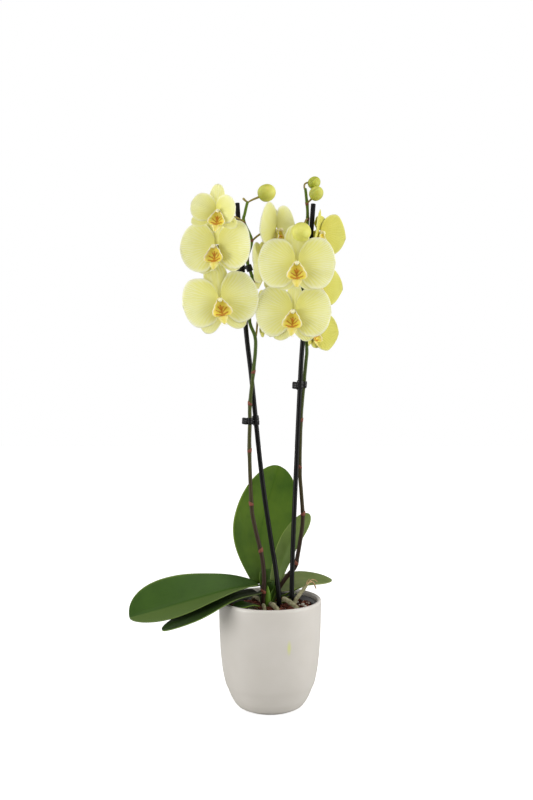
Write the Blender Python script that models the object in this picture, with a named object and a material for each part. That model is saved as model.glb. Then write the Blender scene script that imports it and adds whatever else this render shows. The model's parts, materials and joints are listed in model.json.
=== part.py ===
"""Potted moth orchid: two flower spikes tied to sticks, in a grow pot inside a ceramic cover pot.

Metres, +Z up. The origin is the centre of the cover pot's flat base. The flowers face -Y.
"""

import math

import bmesh
import bpy
from mathutils import Matrix, Vector

# Driving dimensions
GAP = 0.0004  # air left between neighbouring pieces

POT_RADIUS = 0.065
POT_HEIGHT = 0.143
POT_BASE_RADIUS = 0.031
POT_WALL = 0.0045
POT_BELLY_HEIGHT = 0.075  # the curved foot ends and the straight flare begins
POT_BELLY_RADIUS = 0.0628
POT_SEGMENTS = 40

GROW_POT_RADIUS = 0.0592
GROW_POT_BASE_RADIUS = 0.0425
GROW_POT_TOP = 0.1375
GROW_POT_BOTTOM = 0.0185
GROW_POT_WALL = 0.0012

BARK_TOP = 0.1265
BARK_MOUND = 0.0035

STICK_RADIUS = 0.0025
LEAF_THICKNESS = 0.0018
TEPAL_THICKNESS = 0.001
SIDES = 6  # round a stem, stick or root

FLOWER_SPAN = 0.095  # across the two petals of a full-grown flower
DORSAL_LENGTH = 0.046
LATERAL_LENGTH = 0.045
LATERAL_ANGLE = 33.0  # degrees from straight down


# Materials

def material(name, colour, roughness, metallic=0.0):
    made = bpy.data.materials.new(name)
    made.use_nodes = True
    shader = made.node_tree.nodes["Principled BSDF"]
    shader.inputs["Base Color"].default_value = (*colour, 1.0)
    shader.inputs["Roughness"].default_value = roughness
    shader.inputs["Metallic"].default_value = metallic
    return made


def all_materials():
    return {
        "ceramic": material("ceramic", (0.72, 0.70, 0.66), 0.45),
        "grow_pot": material("grow_pot", (0.05, 0.055, 0.05), 0.3),
        "bark": material("bark", (0.16, 0.07, 0.035), 0.9),
        "leaf": material("leaf", (0.07, 0.20, 0.03), 0.4),
        "stem": material("stem", (0.14, 0.16, 0.04), 0.5),
        "stick": material("stick", (0.01, 0.01, 0.012), 0.35),
        "clip": material("clip", (0.012, 0.012, 0.014), 0.3),
        "root": material("root", (0.42, 0.43, 0.33), 0.7),
        "petal": material("petal", (0.80, 0.78, 0.32), 0.5),
        "lip": material("lip", (0.85, 0.60, 0.12), 0.5),
        "bud": material("bud", (0.55, 0.62, 0.12), 0.5),
    }


# Mesh helpers

def clear_scene():
    for old in list(bpy.data.objects):
        bpy.data.objects.remove(old, do_unlink=True)


def add_object(name, mesh, finish):
    made = bpy.data.objects.new(name, mesh)
    bpy.context.scene.collection.objects.link(made)
    made.data.materials.append(finish)
    return made


def mesh_from(bm, name, smooth_angle=None):
    bmesh.ops.recalc_face_normals(bm, faces=bm.faces)
    mesh = bpy.data.meshes.new(name)
    bm.to_mesh(mesh)
    bm.free()
    if smooth_angle is not None:
        mesh.shade_smooth()
        mesh.set_sharp_from_angle(angle=math.radians(smooth_angle))
    return mesh


def baked(made):
    """The object with its modifiers made real and its place kept in its matrix."""
    graph = bpy.context.evaluated_depsgraph_get()
    mesh = bpy.data.meshes.new_from_object(made.evaluated_get(graph))
    name, finish, place = made.name, made.data.materials[0], made.matrix_world.copy()
    bpy.data.objects.remove(made, do_unlink=True)
    mesh.materials.clear()
    solid = add_object(name, mesh, finish)
    solid.matrix_world = place
    return solid


def helper(made):
    """Marks a cutter or a shape to be joined: it isn't part of the object."""
    made.hide_render = True
    made.display_type = "WIRE"
    return made


def combine(target, others, operation):
    """Joins or cuts the others with a Boolean each, and makes the result real."""
    for other in others:
        helper(other)
        step = target.modifiers.new("combine", "BOOLEAN")
        step.operation = operation
        step.solver = "EXACT"
        step.object = other
    solid = baked(target)
    for other in others:
        bpy.data.objects.remove(other, do_unlink=True)
    return solid


def turned(name, profile, finish, segments):
    """A closed ring of (radius, height) points spun about Z. Points on the axis make the poles."""
    bm = bmesh.new()
    points = [bm.verts.new((radius, 0.0, height)) for radius, height in profile]
    edges = [bm.edges.new(pair) for pair in zip(points, points[1:])]
    if profile[0][0] > 0:
        edges.append(bm.edges.new((points[-1], points[0])))
    bmesh.ops.spin(
        bm, geom=points + edges, cent=(0, 0, 0), axis=(0, 0, 1),
        angle=2 * math.pi, steps=segments, use_merge=True,
    )
    bmesh.ops.remove_doubles(bm, verts=bm.verts, dist=1e-5)
    return add_object(name, mesh_from(bm, name, 35), finish)


def smooth_path(points, per_span):
    """Points along a Catmull-Rom curve through the given ones."""
    knots = [Vector(p) for p in points]
    ends = [2 * knots[0] - knots[1], *knots, 2 * knots[-1] - knots[-2]]
    path = []
    for before, start, end, after in zip(ends, ends[1:], ends[2:], ends[3:]):
        for step in range(per_span):
            t = step / per_span
            path.append(0.5 * (
                2 * start + (end - before) * t
                + (2 * before - 5 * start + 4 * end - after) * t ** 2
                + (3 * start - before - 3 * end + after) * t ** 3
            ))
    return path + [knots[-1]]


def point_on(path, share):
    """The point at a share of a path's length."""
    lengths = [(end - start).length for start, end in zip(path, path[1:])]
    left = share * sum(lengths)
    for start, end, length in zip(path, path[1:], lengths):
        if left <= length:
            return start.lerp(end, left / length)
        left -= length
    return path[-1]


def tube(name, path, radii, finish, sides=SIDES):
    """A capped round bar along a path. radii is one number, or one for each end, shared out evenly."""
    first, last = radii if isinstance(radii, tuple) else (radii, radii)
    curve = bpy.data.curves.new(name, "CURVE")
    curve.dimensions = "3D"
    curve.bevel_depth = 1.0
    curve.bevel_resolution = sides // 2 - 2
    curve.use_fill_caps = True
    spline = curve.splines.new("POLY")
    spline.points.add(len(path) - 1)
    for index, (point, place) in enumerate(zip(spline.points, path)):
        share = index / (len(path) - 1)
        point.co = (*place, 1.0)
        point.radius = first + (last - first) * share
    made = bpy.data.objects.new(name, curve)
    bpy.context.scene.collection.objects.link(made)
    made.data.materials.append(finish)
    return baked(made)


def sheet(name, shape, rows, columns, thickness, finish):
    """A thin solid whose middle surface is shape(u, v), with u from 0 to 1 and v from -1 to 1."""
    bm = bmesh.new()
    bmesh.ops.create_grid(bm, x_segments=rows, y_segments=columns, size=1.0)
    for vertex in bm.verts:
        vertex.co = shape((vertex.co.x + 1) / 2, vertex.co.y)
    made = add_object(name, mesh_from(bm, name, 60), finish)
    wall = made.modifiers.new("thickness", "SOLIDIFY")
    wall.thickness = thickness
    wall.offset = 0.0
    return made


# Pots and bark

def cover_pot_outline(inset):
    """(radius, height) up the pot's side, inset metres inside its outer face."""
    belly = POT_BELLY_RADIUS - POT_BASE_RADIUS
    steps = 8
    points = []
    for step in range(1, steps + 1):
        turn = math.radians(90) * step / steps
        points.append((
            POT_BASE_RADIUS + belly * math.sin(turn) - inset * math.sin(turn),
            POT_BELLY_HEIGHT * (1 - math.cos(turn)) + inset * math.cos(turn),
        ))
    return points


def cover_pot(finish):
    lip = POT_WALL / 2
    lip_centre = POT_RADIUS - lip
    outside = cover_pot_outline(0.0)
    inside = cover_pot_outline(POT_WALL)
    rim = [
        (lip_centre + lip * math.cos(a), POT_HEIGHT - lip + lip * math.sin(a))
        for a in (math.radians(d) for d in (0, 60, 120, 180))
    ]
    profile = [(0.0, 0.0), (POT_BASE_RADIUS, 0.0), *outside, *rim, *reversed(inside)]
    profile += [(POT_BASE_RADIUS, POT_WALL), (0.0, POT_WALL)]
    return turned("cover_pot", profile, finish, POT_SEGMENTS)


def grow_pot(finish):
    """Thin tapered pot with a turned-out rim and an open drain in the middle of its floor."""
    wall = GROW_POT_WALL
    drain = 0.008
    rim_drop = 0.005
    rim_step = 0.0015
    neck = GROW_POT_RADIUS - rim_step
    profile = [
        (drain, GROW_POT_BOTTOM),
        (GROW_POT_BASE_RADIUS, GROW_POT_BOTTOM),
        (neck, GROW_POT_TOP - rim_drop),
        (GROW_POT_RADIUS, GROW_POT_TOP - rim_drop),
        (GROW_POT_RADIUS, GROW_POT_TOP),
        (neck - wall, GROW_POT_TOP),
        (neck - wall, GROW_POT_TOP - rim_drop),
        (GROW_POT_BASE_RADIUS - wall, GROW_POT_BOTTOM + wall),
        (drain, GROW_POT_BOTTOM + wall),
    ]
    return turned("grow_pot", profile, finish, POT_SEGMENTS)


def bark(finish, buried):
    """The potting bark, bored for the sticks and roots that go down into it."""
    bottom = GROW_POT_BOTTOM + GROW_POT_WALL + GAP
    slope = (GROW_POT_RADIUS - 0.0015 - GROW_POT_BASE_RADIUS) / (GROW_POT_TOP - 0.005 - GROW_POT_BOTTOM)
    skin = GROW_POT_WALL + 3 * GAP

    def inner_radius(height):
        return GROW_POT_BASE_RADIUS + slope * (height - GROW_POT_BOTTOM) - skin

    edge_top = BARK_TOP - 0.002
    profile = [
        (0.0, bottom),
        (inner_radius(bottom), bottom),
        (inner_radius(edge_top), edge_top),
        (0.045, BARK_TOP),
        (0.022, BARK_TOP + BARK_MOUND),
        (0.0, BARK_TOP + BARK_MOUND),
    ]
    mass = turned("bark", profile, finish, 24)
    cutters = [
        tube("bore", path, tuple(r + 2 * GAP for r in radii), finish)
        for path, radii in buried
    ]
    return combine(mass, cutters, "DIFFERENCE")


# Leaves

def leaf_width(u, widest):
    """Half width along a strap leaf, as a share of its widest: a narrow sheath, then a broad blade."""
    if u < widest:
        return 0.24 + 0.76 * math.sin(math.pi / 2 * u / widest)
    return max(0.12, math.sqrt(1 - min(1.0, ((u - widest) / (1 - widest)) ** 2.4)))


def leaf(name, spine, half_width, widest, roll, fold, up, finish):
    """A strap leaf along a spine. It turns by roll from base to tip, and fold raises its edges (degrees)."""
    path = smooth_path(spine, 6)
    guide = Vector(up)

    def shape(u, v):
        along = math.sin(u * math.pi / 2)
        centre = point_on(path, along)
        ahead, behind = point_on(path, min(1.0, along + 0.12)), point_on(path, max(0.0, along - 0.12))
        tangent = (ahead - behind).normalized()
        side = tangent.cross(guide).normalized()
        normal = side.cross(tangent).normalized()
        turn = Matrix.Rotation(math.radians(roll * along ** 0.55), 3, tangent)
        side, normal = turn @ side, turn @ normal
        reach = half_width * leaf_width(along, widest) * v
        lift = math.radians(fold * (1.6 - 0.6 * along))
        return centre + side * reach * math.cos(lift) + normal * abs(reach) * math.sin(lift)

    return sheet(name, shape, 9, 4, LEAF_THICKNESS, finish)


LEAVES = {
    # name: (spine, half width, where it is widest, roll, fold, up)
    "leaf_left_upper": (
        [(-0.013, 0.006, 0.158), (-0.043, -0.008, 0.158), (-0.078, -0.018, 0.151), (-0.176, -0.036, 0.127)],
        0.0365, 0.66, -46.0, 20.0, (0, 0, 1),
    ),
    "leaf_left_lower": (
        [(-0.015, -0.006, 0.147), (-0.050, -0.029, 0.147), (-0.090, -0.047, 0.134), (-0.134, -0.059, 0.117)],
        0.020, 0.6, -6.0, 6.0, (0, 0, 1),
    ),
    "leaf_left_small": (
        [(-0.0140, -0.014, 0.1365), (-0.030, -0.026, 0.1405), (-0.046, -0.033, 0.1400)],
        0.010, 0.6, -10.0, 10.0, (0, 0, 1),
    ),
    "leaf_back": (
        [(-0.0090, 0.0155, 0.158), (-0.012, 0.041, 0.209), (-0.006, 0.055, 0.247), (0.011, 0.067, 0.303)],
        0.0400, 0.54, 0.0, 10.0, (0, -1, 0),
    ),
    "leaf_right_upright": (
        [(0.0065, 0.0110, 0.162), (0.015, 0.018, 0.187), (0.027, 0.026, 0.213), (0.050, 0.033, 0.246)],
        0.0135, 0.66, -28.0, 16.0, (0, -1, 0),
    ),
    "leaf_right_low": (
        [(0.0045, 0.0165, 0.150), (0.033, 0.032, 0.1615), (0.055, 0.037, 0.1635), (0.079, 0.040, 0.161)],
        0.018, 0.45, 4.0, 9.0, (0, 0, 1),
    ),
}


# Sticks, stems and roots

STICK_LEFT = [
    (0.0130, -0.002, 0.045), (0.0118, -0.002, 0.135), (0.0073, 0.000, 0.180), (0.0015, 0.004, 0.216),
    (-0.0109, 0.008, 0.303), (-0.0235, 0.011, 0.425), (-0.0311, 0.012, 0.495), (-0.0409, 0.012, 0.642),
]
STICK_RIGHT = [
    (0.0270, -0.002, 0.045), (0.0275, 0.000, 0.149), (0.0290, 0.001, 0.212), (0.0325, 0.003, 0.300),
    (0.0374, 0.006, 0.4125), (0.0409, 0.008, 0.472), (0.0537, 0.012, 0.641),
]
STEM_LEFT = [
    (-0.0090, -0.0050, 0.137), (-0.0082, -0.0058, 0.156), (-0.0076, -0.006, 0.171), (-0.0092, -0.006, 0.192),
    (-0.0123, -0.0060, 0.208), (-0.0203, -0.0050, 0.242), (-0.0236, -0.004, 0.267), (-0.0260, 0.000, 0.334),
    (-0.0254, 0.003, 0.369), (-0.0252, 0.003, 0.392), (-0.0210, 0.003, 0.432), (-0.0183, 0.004, 0.460),
    (-0.0190, 0.004, 0.477), (-0.0262, 0.004, 0.500), (-0.0215, 0.004, 0.544), (-0.0285, 0.004, 0.572),
    (-0.0230, 0.004, 0.596), (-0.0326, 0.003, 0.619), (-0.0312, 0.002, 0.630), (-0.0282, 0.001, 0.643),
]
STEM_RIGHT = [
    (0.0080, 0.0070, 0.1480), (0.0135, 0.0090, 0.158), (0.0240, 0.0110, 0.172), (0.0320, 0.0120, 0.1815),
    (0.0357, 0.0120, 0.199), (0.0400, 0.0120, 0.226), (0.0416, 0.0120, 0.247), (0.0396, 0.0120, 0.277),
    (0.0377, 0.0120, 0.308), (0.0388, 0.0130, 0.368), (0.0408, 0.0135, 0.397), (0.0450, 0.0150, 0.443),
    (0.0462, 0.0170, 0.457), (0.0448, 0.0200, 0.478), (0.0405, 0.0230, 0.520), (0.0415, 0.0240, 0.560),
    (0.0445, 0.0230, 0.595), (0.0465, 0.0210, 0.615),
    (0.0466, 0.0190, 0.634), (0.0450, 0.0180, 0.650), (0.0440, 0.0180, 0.659),
]
# Each flower: centre, then yaw to its left or right, pitch up and roll clockwise in degrees, size, how
# far its petals fold forward in degrees, and the point on the stem that its stalk grows from.
FLOWERS = {
    "left_1": ((-0.0664, -0.040, 0.6325), -12, 10, 4, 0.66, 24, (-0.0318, 0.003, 0.6180)),
    "left_2": ((-0.0690, -0.030, 0.5905), -12, 8, -6, 0.97, 6, (-0.0275, 0.004, 0.5740)),
    "left_3": ((-0.0580, -0.030, 0.5250), -3, 8, -9, 1.00, 2, (-0.0262, 0.004, 0.5010)),
    "left_4": ((0.0062, 0.028, 0.6120), 60, 4, -4, 0.82, 0, (-0.0230, 0.004, 0.5950)),
    "left_5": ((-0.0043, 0.0305, 0.567), 66, 4, 4, 0.84, 0, (-0.0217, 0.004, 0.5450)),
    "left_6": ((-0.0026, 0.034, 0.5060), 72, 4, 4, 0.84, 0, (-0.0184, 0.004, 0.4740)),
    "right_1": ((0.0325, -0.036, 0.5670), -1, 9, 0, 1.00, 2, (0.0413, 0.024, 0.5560)),
    "right_2": ((0.0268, -0.030, 0.5110), -2, 9, 1, 1.00, 2, (0.0405, 0.023, 0.5220)),
    "right_3": ((0.0620, 0.038, 0.6050), 60, -4, 4, 0.84, 24, (0.0440, 0.023, 0.5900)),
    "right_4": ((0.0650, 0.039, 0.5430), 62, 0, 4, 0.82, 22, (0.0408, 0.023, 0.5320)),
    "right_5": ((0.0590, 0.037, 0.4890), 60, 13, 4, 0.78, 22, (0.0450, 0.020, 0.4760)),
}
# Each bud: centre, radius, how much longer than wide, and the stalk's start on the stem.
BUDS = {
    "bud_left": ((-0.0042, -0.004, 0.6550), 0.0108, 1.04, (-0.0284, 0.001, 0.6420)),
    "bud_right_round": ((0.0378, -0.042, 0.6105), 0.0118, 1.02, (0.0467, 0.020, 0.6220)),
    "bud_right_middle": ((0.0573, 0.009, 0.6540), 0.0086, 1.08, (0.0462, 0.018, 0.6410)),
    "bud_right_top": ((0.0550, 0.025, 0.6672), 0.0076, 1.10, (0.0442, 0.018, 0.6570)),
}


def flower_matrix(centre, yaw, pitch, roll, size):
    turn = (
        Matrix.Rotation(math.radians(yaw), 4, "Z")
        @ Matrix.Rotation(math.radians(-pitch), 4, "X")
        @ Matrix.Rotation(math.radians(roll), 4, "Y")
    )
    return Matrix.Translation(centre) @ turn @ Matrix.Scale(size, 4)


def stalk_path(start, end, facing):
    """A bowed stalk from the stem to the back of a flower, arriving along the flower's axis."""
    start, reach = Vector(start), (Vector(end) - Vector(start)).length
    handle_out = start + (Vector(end) - start) * 0.3 + Vector((0, 0, 0.12 * reach))
    handle_in = end - facing * 0.35 * reach
    path = []
    for step in range(6):
        t = step / 5
        path.append(
            start * (1 - t) ** 3 + handle_out * 3 * t * (1 - t) ** 2
            + handle_in * 3 * t ** 2 * (1 - t) + end * t ** 3
        )
    return path


def spike(name, stem, side, finish):
    """A flower stem with a stalk to each of its flowers and buds, grown as one piece."""
    body = tube(name, smooth_path(stem, 2), (0.0025, 0.0014), finish)
    stalks = []
    for flower, (centre, yaw, pitch, roll, size, _, start) in FLOWERS.items():
        if flower.startswith(side):
            facing = flower_matrix(centre, yaw, pitch, roll, 1.0).to_3x3() @ Vector((0, -1, 0))
            end = Vector(centre) - facing * (0.0046 * size + GAP)
            stalks.append(tube("stalk", stalk_path(start, end, facing), (0.0014, 0.0017), finish))
    for bud, (centre, radius, stretch, start) in BUDS.items():
        if bud.split("_")[1] == side:
            away = (Vector(centre) - Vector(start)).normalized()
            end = Vector(centre) - away * (radius * stretch + GAP)
            stalks.append(tube("stalk", stalk_path(start, end, away), 0.0012, finish))
    return combine(body, stalks, "UNION")


ROOTS = {
    # name: (path, radius at each end, goes into the bark)
    "root_front": (
        [(-0.0080, -0.0110, 0.1365), (-0.0072, -0.0195, 0.1350), (-0.0070, -0.0240, 0.1200)],
        (0.0026, 0.0024), True,
    ),
    "root_middle": (
        [(0.001, -0.007, 0.137), (0.004, -0.018, 0.1385), (0.009, -0.025, 0.133), (0.011, -0.027, 0.118)],
        (0.0032, 0.0034), True,
    ),
    "root_right": (
        [(0.018, -0.009, 0.145), (0.026, -0.014, 0.140), (0.035, -0.019, 0.133), (0.039, -0.021, 0.118)],
        (0.0030, 0.0032), True,
    ),
    "root_over_rim": (
        [(0.025, -0.010, 0.122), (0.031, -0.006, 0.139), (0.039, 0.001, 0.150), (0.0465, 0.008, 0.158)],
        (0.0032, 0.0022), True,
    ),
    "root_tip": (
        [(0.0475, 0.009, 0.1595), (0.053, 0.015, 0.161), (0.057, 0.021, 0.156), (0.060, 0.026, 0.1465)],
        (0.0013, 0.0009), False,
    ),
}


def crown(finish):
    """The short upright stem that the leaves clasp and the roots grow from."""
    profile = [
        (0.0, 0.0), (0.0070, 0.0), (0.0085, 0.0080), (0.0075, 0.0200), (0.0050, 0.0330), (0.0, 0.0360),
    ]
    made = turned("crown", profile, finish, 14)
    made.location = (-0.003, 0.006, BARK_TOP + BARK_MOUND + GAP)
    return made


# Clips

def aimed(centre, axis):
    """The matrix that moves a shape from the origin to centre and turns its Z to axis."""
    return Matrix.Translation(centre) @ Vector(axis).to_track_quat("Z", "Y").to_matrix().to_4x4()


def ring(name, centre, axis, bore, wall, height, finish):
    """A short tube around a stick or a stem."""
    bm = bmesh.new()
    outer, top = bore + wall, height / 2
    verts = [bm.verts.new((x, 0, z)) for x, z in ((bore, -top), (outer, -top), (outer, top), (bore, top))]
    edges = [bm.edges.new((verts[i - 1], verts[i])) for i in range(4)]
    bmesh.ops.spin(
        bm, geom=verts + edges, cent=(0, 0, 0), axis=(0, 0, 1),
        angle=2 * math.pi, steps=10, use_merge=True,
    )
    bmesh.ops.remove_doubles(bm, verts=bm.verts, dist=1e-6)
    made = add_object(name, mesh_from(bm, name, 35), finish)
    made.matrix_world = aimed(centre, axis)
    return made


def path_at(points, height):
    """The point and direction of a stem or stick at a height."""
    path = smooth_path(points, 12)
    for below, above in zip(path, path[1:]):
        if below.z <= height <= above.z:
            share = (height - below.z) / (above.z - below.z)
            return below.lerp(above, share), (above - below).normalized()
    raise ValueError(f"nothing at height {height}")


def clip(name, stick, stem, height, tab, tab_on_stem, finish):
    """A spring clip: a sleeve round the stick and one round the stem, a web between and a finger tab."""
    stick_at, stick_way = path_at(stick, height)
    stem_at, stem_way = path_at(stem, height)
    wall, tall = 0.0011, 0.0120
    stem_bore = 0.0030
    body = ring(name, stick_at, stick_way, STICK_RADIUS + 2 * GAP, wall, tall, finish)
    other = ring("sleeve", stem_at, stem_way, stem_bore, wall, tall * 0.7, finish)
    between = (stem_at - stick_at).normalized()
    web_from = stick_at + between * (STICK_RADIUS + 2.6 * GAP)
    web_to = stem_at - between * (stem_bore + 0.6 * GAP)
    joined = [other]
    if (web_to - web_from).length > 0.0008:
        joined.append(tube("web", [web_from, web_to], 0.0016, finish))
    tab_way = Vector(tab).normalized()
    tab_from = stick_at + tab_way * (STICK_RADIUS + 3 * GAP)
    if tab_on_stem:
        tab_from = stem_at + tab_way * (stem_bore + GAP)
    joined.append(tube("tab", [tab_from, tab_from + Vector(tab)], 0.0024, finish))
    return combine(body, joined, "UNION")


# Flowers

def lobe(bm, angle, tilt, length, half_width, wedge, cup, bow):
    """Adds one sepal or petal to a whorl as a grid, and returns the vertices of its narrow end.

    angle is from +X in the XZ plane, and tilt leans it to -Y. wedge is the widest that it may be for its
    distance from the middle, so that neighbours don't meet. cup and bow bend it to -Y along and across."""
    rows, columns, start = 5, 4, 0.0030
    before = set(bm.verts)
    bmesh.ops.create_grid(bm, x_segments=rows, y_segments=columns, size=1.0)
    grid = [v for v in bm.verts if v not in before]
    out = Vector((math.cos(angle) * math.cos(tilt), -math.sin(tilt), math.sin(angle) * math.cos(tilt)))
    side = Vector((-math.sin(angle), 0, math.cos(angle)))
    inner = []
    for vertex in grid:
        u, v = (vertex.co.x + 1) / 2, vertex.co.y
        turn = math.pi * u * 0.93
        along = (1 - math.cos(turn)) / (1 - math.cos(math.pi * 0.93))
        reach = start + (length - start) * along
        width = min(half_width * math.sin(turn) + start, wedge * reach)
        forward = cup * along ** 2 + bow * (v * width / half_width) ** 2 * along
        vertex.co = out * reach + side * width * v - Vector((0, forward, 0))
        if u < 1e-6:
            inner.append(vertex)
    return inner


def whorl_mesh(name, lobes):
    """Sepals or petals joined at the middle of the flower, as one thin closed body."""
    bm = bmesh.new()
    inner = []
    for lobe_values in lobes:
        inner += lobe(bm, *lobe_values)
    inner.sort(key=lambda v: math.atan2(v.co.z, v.co.x))
    bm.faces.new(inner)
    bmesh.ops.recalc_face_normals(bm, faces=bm.faces)
    mesh = bpy.data.meshes.new(name)
    bm.to_mesh(mesh)
    bm.free()
    mesh.shade_smooth()
    return mesh


def sepals_mesh(fold):
    down = math.radians(-90)
    splay = math.radians(LATERAL_ANGLE)
    tilt = math.radians(0.3 * fold)
    return whorl_mesh("sepals", [
        (math.radians(90), tilt, DORSAL_LENGTH, 0.0120, 0.6, -0.003, -0.003),
        (down - splay, tilt, LATERAL_LENGTH, 0.0130, 0.6, -0.002, -0.003),
        (down + splay, tilt, LATERAL_LENGTH, 0.0130, 0.6, -0.002, -0.003),
    ])


def petals_mesh(fold):
    tilt = math.radians(fold)
    return whorl_mesh("petals", [
        (0.0, tilt, FLOWER_SPAN / 2, 0.0275, 1.3, 0.003, -0.003),
        (math.pi, tilt, FLOWER_SPAN / 2, 0.0275, 1.3, 0.003, -0.003),
    ])


def lip_mesh(finish):
    """The lip, with side lobes cupped to the front and a middle lobe reaching down, and the column."""
    stations = [  # height, half width, how far forward, how much the edges come forward
        (0.0010, 0.0035, 0.0030, 0.0020),
        (-0.0040, 0.0085, 0.0035, 0.0070),
        (-0.0100, 0.0110, 0.0045, 0.0080),
        (-0.0130, 0.0060, 0.0060, 0.0030),
        (-0.0175, 0.0065, 0.0100, 0.0010),
        (-0.0220, 0.0016, 0.0140, 0.0000),
    ]

    def shape(u, v):
        height, width, forward, edge = stations[round(u * (len(stations) - 1))]
        return Vector((width * v, -forward - edge * abs(v) ** 1.5, height))

    blade = sheet("blade", shape, len(stations) - 1, 4, 0.0011, finish)
    column_path = [Vector((0, -0.0015, 0.0012)), Vector((0, -0.0095, -0.0002))]
    column = tube("column", column_path, 0.0022, finish)
    return combine(blade, [column], "UNION")


def flowers(finishes):
    pattern = lip_mesh(finishes["lip"])
    for name, (centre, yaw, pitch, roll, size, fold, _) in FLOWERS.items():
        place = flower_matrix(centre, yaw, pitch, roll, size)
        whorls = {"sepals": (sepals_mesh(fold), 0.0021), "petals": (petals_mesh(fold), 0.0)}
        for part, (mesh, behind) in whorls.items():
            made = add_object(f"flower_{name}_{part}", mesh, finishes["petal"])
            made.matrix_world = place @ Matrix.Translation((0, behind, 0))
            wall = made.modifiers.new("thickness", "SOLIDIFY")
            wall.thickness = TEPAL_THICKNESS
            wall.offset = 0.0
        made = add_object(f"flower_{name}_lip", pattern.data.copy(), finishes["lip"])
        made.matrix_world = place @ Matrix.Translation((0, -0.00008 * fold, 0))
    bpy.data.objects.remove(pattern, do_unlink=True)


def buds(finish):
    for name, (centre, radius, stretch, start) in BUDS.items():
        bm = bmesh.new()
        bmesh.ops.create_icosphere(bm, subdivisions=2, radius=radius)
        bmesh.ops.scale(bm, vec=(1, 1, stretch), verts=bm.verts)
        made = add_object(name, mesh_from(bm, name, 60), finish)
        made.matrix_world = aimed(centre, Vector(centre) - Vector(start))


def main():
    clear_scene()
    finishes = all_materials()
    cover_pot(finishes["ceramic"])
    grow_pot(finishes["grow_pot"])
    crown(finishes["leaf"])
    for name, (spine, half_width, widest, roll, fold, up) in LEAVES.items():
        leaf(name, spine, half_width, widest, roll, fold, up, finishes["leaf"])
    buried = []
    for name, path in (("stick_left", STICK_LEFT), ("stick_right", STICK_RIGHT)):
        points = smooth_path(path, 2)
        tube(name, points, STICK_RADIUS, finishes["stick"])
        buried.append((points, (STICK_RADIUS, STICK_RADIUS)))
    for name, (path, radii, goes_in) in ROOTS.items():
        points = smooth_path(path, 3)
        tube(name, points, radii, finishes["root"])
        if goes_in:
            buried.append((points, radii))
    bark(finishes["bark"], buried)
    spike("spike_left", STEM_LEFT, "left", finishes["stem"])
    spike("spike_right", STEM_RIGHT, "right", finishes["stem"])
    clip("clip_left_low", STICK_LEFT, STEM_LEFT, 0.3700, (-0.006, 0.0, 0.0), True, finishes["clip"])
    clip("clip_left_high", STICK_LEFT, STEM_LEFT, 0.5630, (-0.005, 0.004, 0.0), False, finishes["clip"])
    clip("clip_right", STICK_RIGHT, STEM_RIGHT, 0.4150, (-0.007, -0.002, 0.0), False, finishes["clip"])
    flowers(finishes)
    buds(finishes["bud"])


main()
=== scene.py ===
# %% [markdown]
# # A potted moth orchid
# The plant has two flower spikes tied to black sticks. It stands in a thin grow pot
# inside a white ceramic cover pot. Every piece below is built straight into its
# final place, in metres, around the fixed model that the first cell loads.

# %% Load the fixed model
import json
import math
import random

import bmesh
import bpy
from mathutils import Matrix, Vector, noise

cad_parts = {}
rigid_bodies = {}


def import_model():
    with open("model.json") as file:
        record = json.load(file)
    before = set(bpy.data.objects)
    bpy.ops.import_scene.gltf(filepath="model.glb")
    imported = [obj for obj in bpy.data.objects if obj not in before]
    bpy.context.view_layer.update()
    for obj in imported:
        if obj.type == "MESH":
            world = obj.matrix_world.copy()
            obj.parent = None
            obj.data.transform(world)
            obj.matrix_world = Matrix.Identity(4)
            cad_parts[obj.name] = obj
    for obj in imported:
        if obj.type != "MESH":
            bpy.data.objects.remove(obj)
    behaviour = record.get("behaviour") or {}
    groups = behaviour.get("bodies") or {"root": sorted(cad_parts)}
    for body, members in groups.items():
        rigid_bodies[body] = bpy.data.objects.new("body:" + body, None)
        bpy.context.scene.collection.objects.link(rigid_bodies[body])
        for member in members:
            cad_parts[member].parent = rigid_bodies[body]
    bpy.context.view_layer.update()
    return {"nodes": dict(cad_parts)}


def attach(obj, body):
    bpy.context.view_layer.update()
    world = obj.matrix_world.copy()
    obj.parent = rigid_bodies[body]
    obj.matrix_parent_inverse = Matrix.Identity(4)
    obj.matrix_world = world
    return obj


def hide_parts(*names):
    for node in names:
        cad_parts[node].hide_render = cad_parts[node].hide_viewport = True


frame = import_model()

# %% [markdown]
# ## Small helpers for finishes
# Colours are written as they look on a screen, from 0 to 255, and turned into the
# linear numbers that a shader wants. The helpers add one node each and hand back its
# result, so a pattern reads like a sum. A finish starts from the Principled shader.

# %% Finish helpers
scene = bpy.context.scene
scene.view_settings.view_transform = "Standard"


def paint(red, green, blue):
    return tuple((part / 255) ** 2.2 for part in (red, green, blue)) + (1.0,)


class Nodes:
    """Short ways to add nodes to a tree."""

    def __init__(self, tree):
        self.tree = tree

    def add(self, kind, settings=None, **sockets):
        """Sockets are given by name, or as i0, i1 and so on by number."""
        node = self.tree.nodes.new("ShaderNode" + kind)
        for key, value in (settings or {}).items():
            setattr(node, key, value)
        for socket, value in sockets.items():
            target = node.inputs[int(socket[1:]) if socket[1:].isdigit() else socket]
            if isinstance(value, bpy.types.NodeSocket):
                self.tree.links.new(value, target)
            else:
                target.default_value = value
        return node

    def math(self, how, first, second=0.0):
        return self.add("Math", {"operation": how}, i0=first, i1=second).outputs[0]

    def times(self, first, second):
        return self.math("MULTIPLY", first, second)

    def remap(self, value, start=0.0, end=1.0, low=0.0, high=1.0):
        return self.add("MapRange", i0=value, i1=start, i2=end, i3=low, i4=high).outputs[0]

    def seen_by_camera(self):
        return self.add("LightPath").outputs["Is Camera Ray"]


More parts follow.
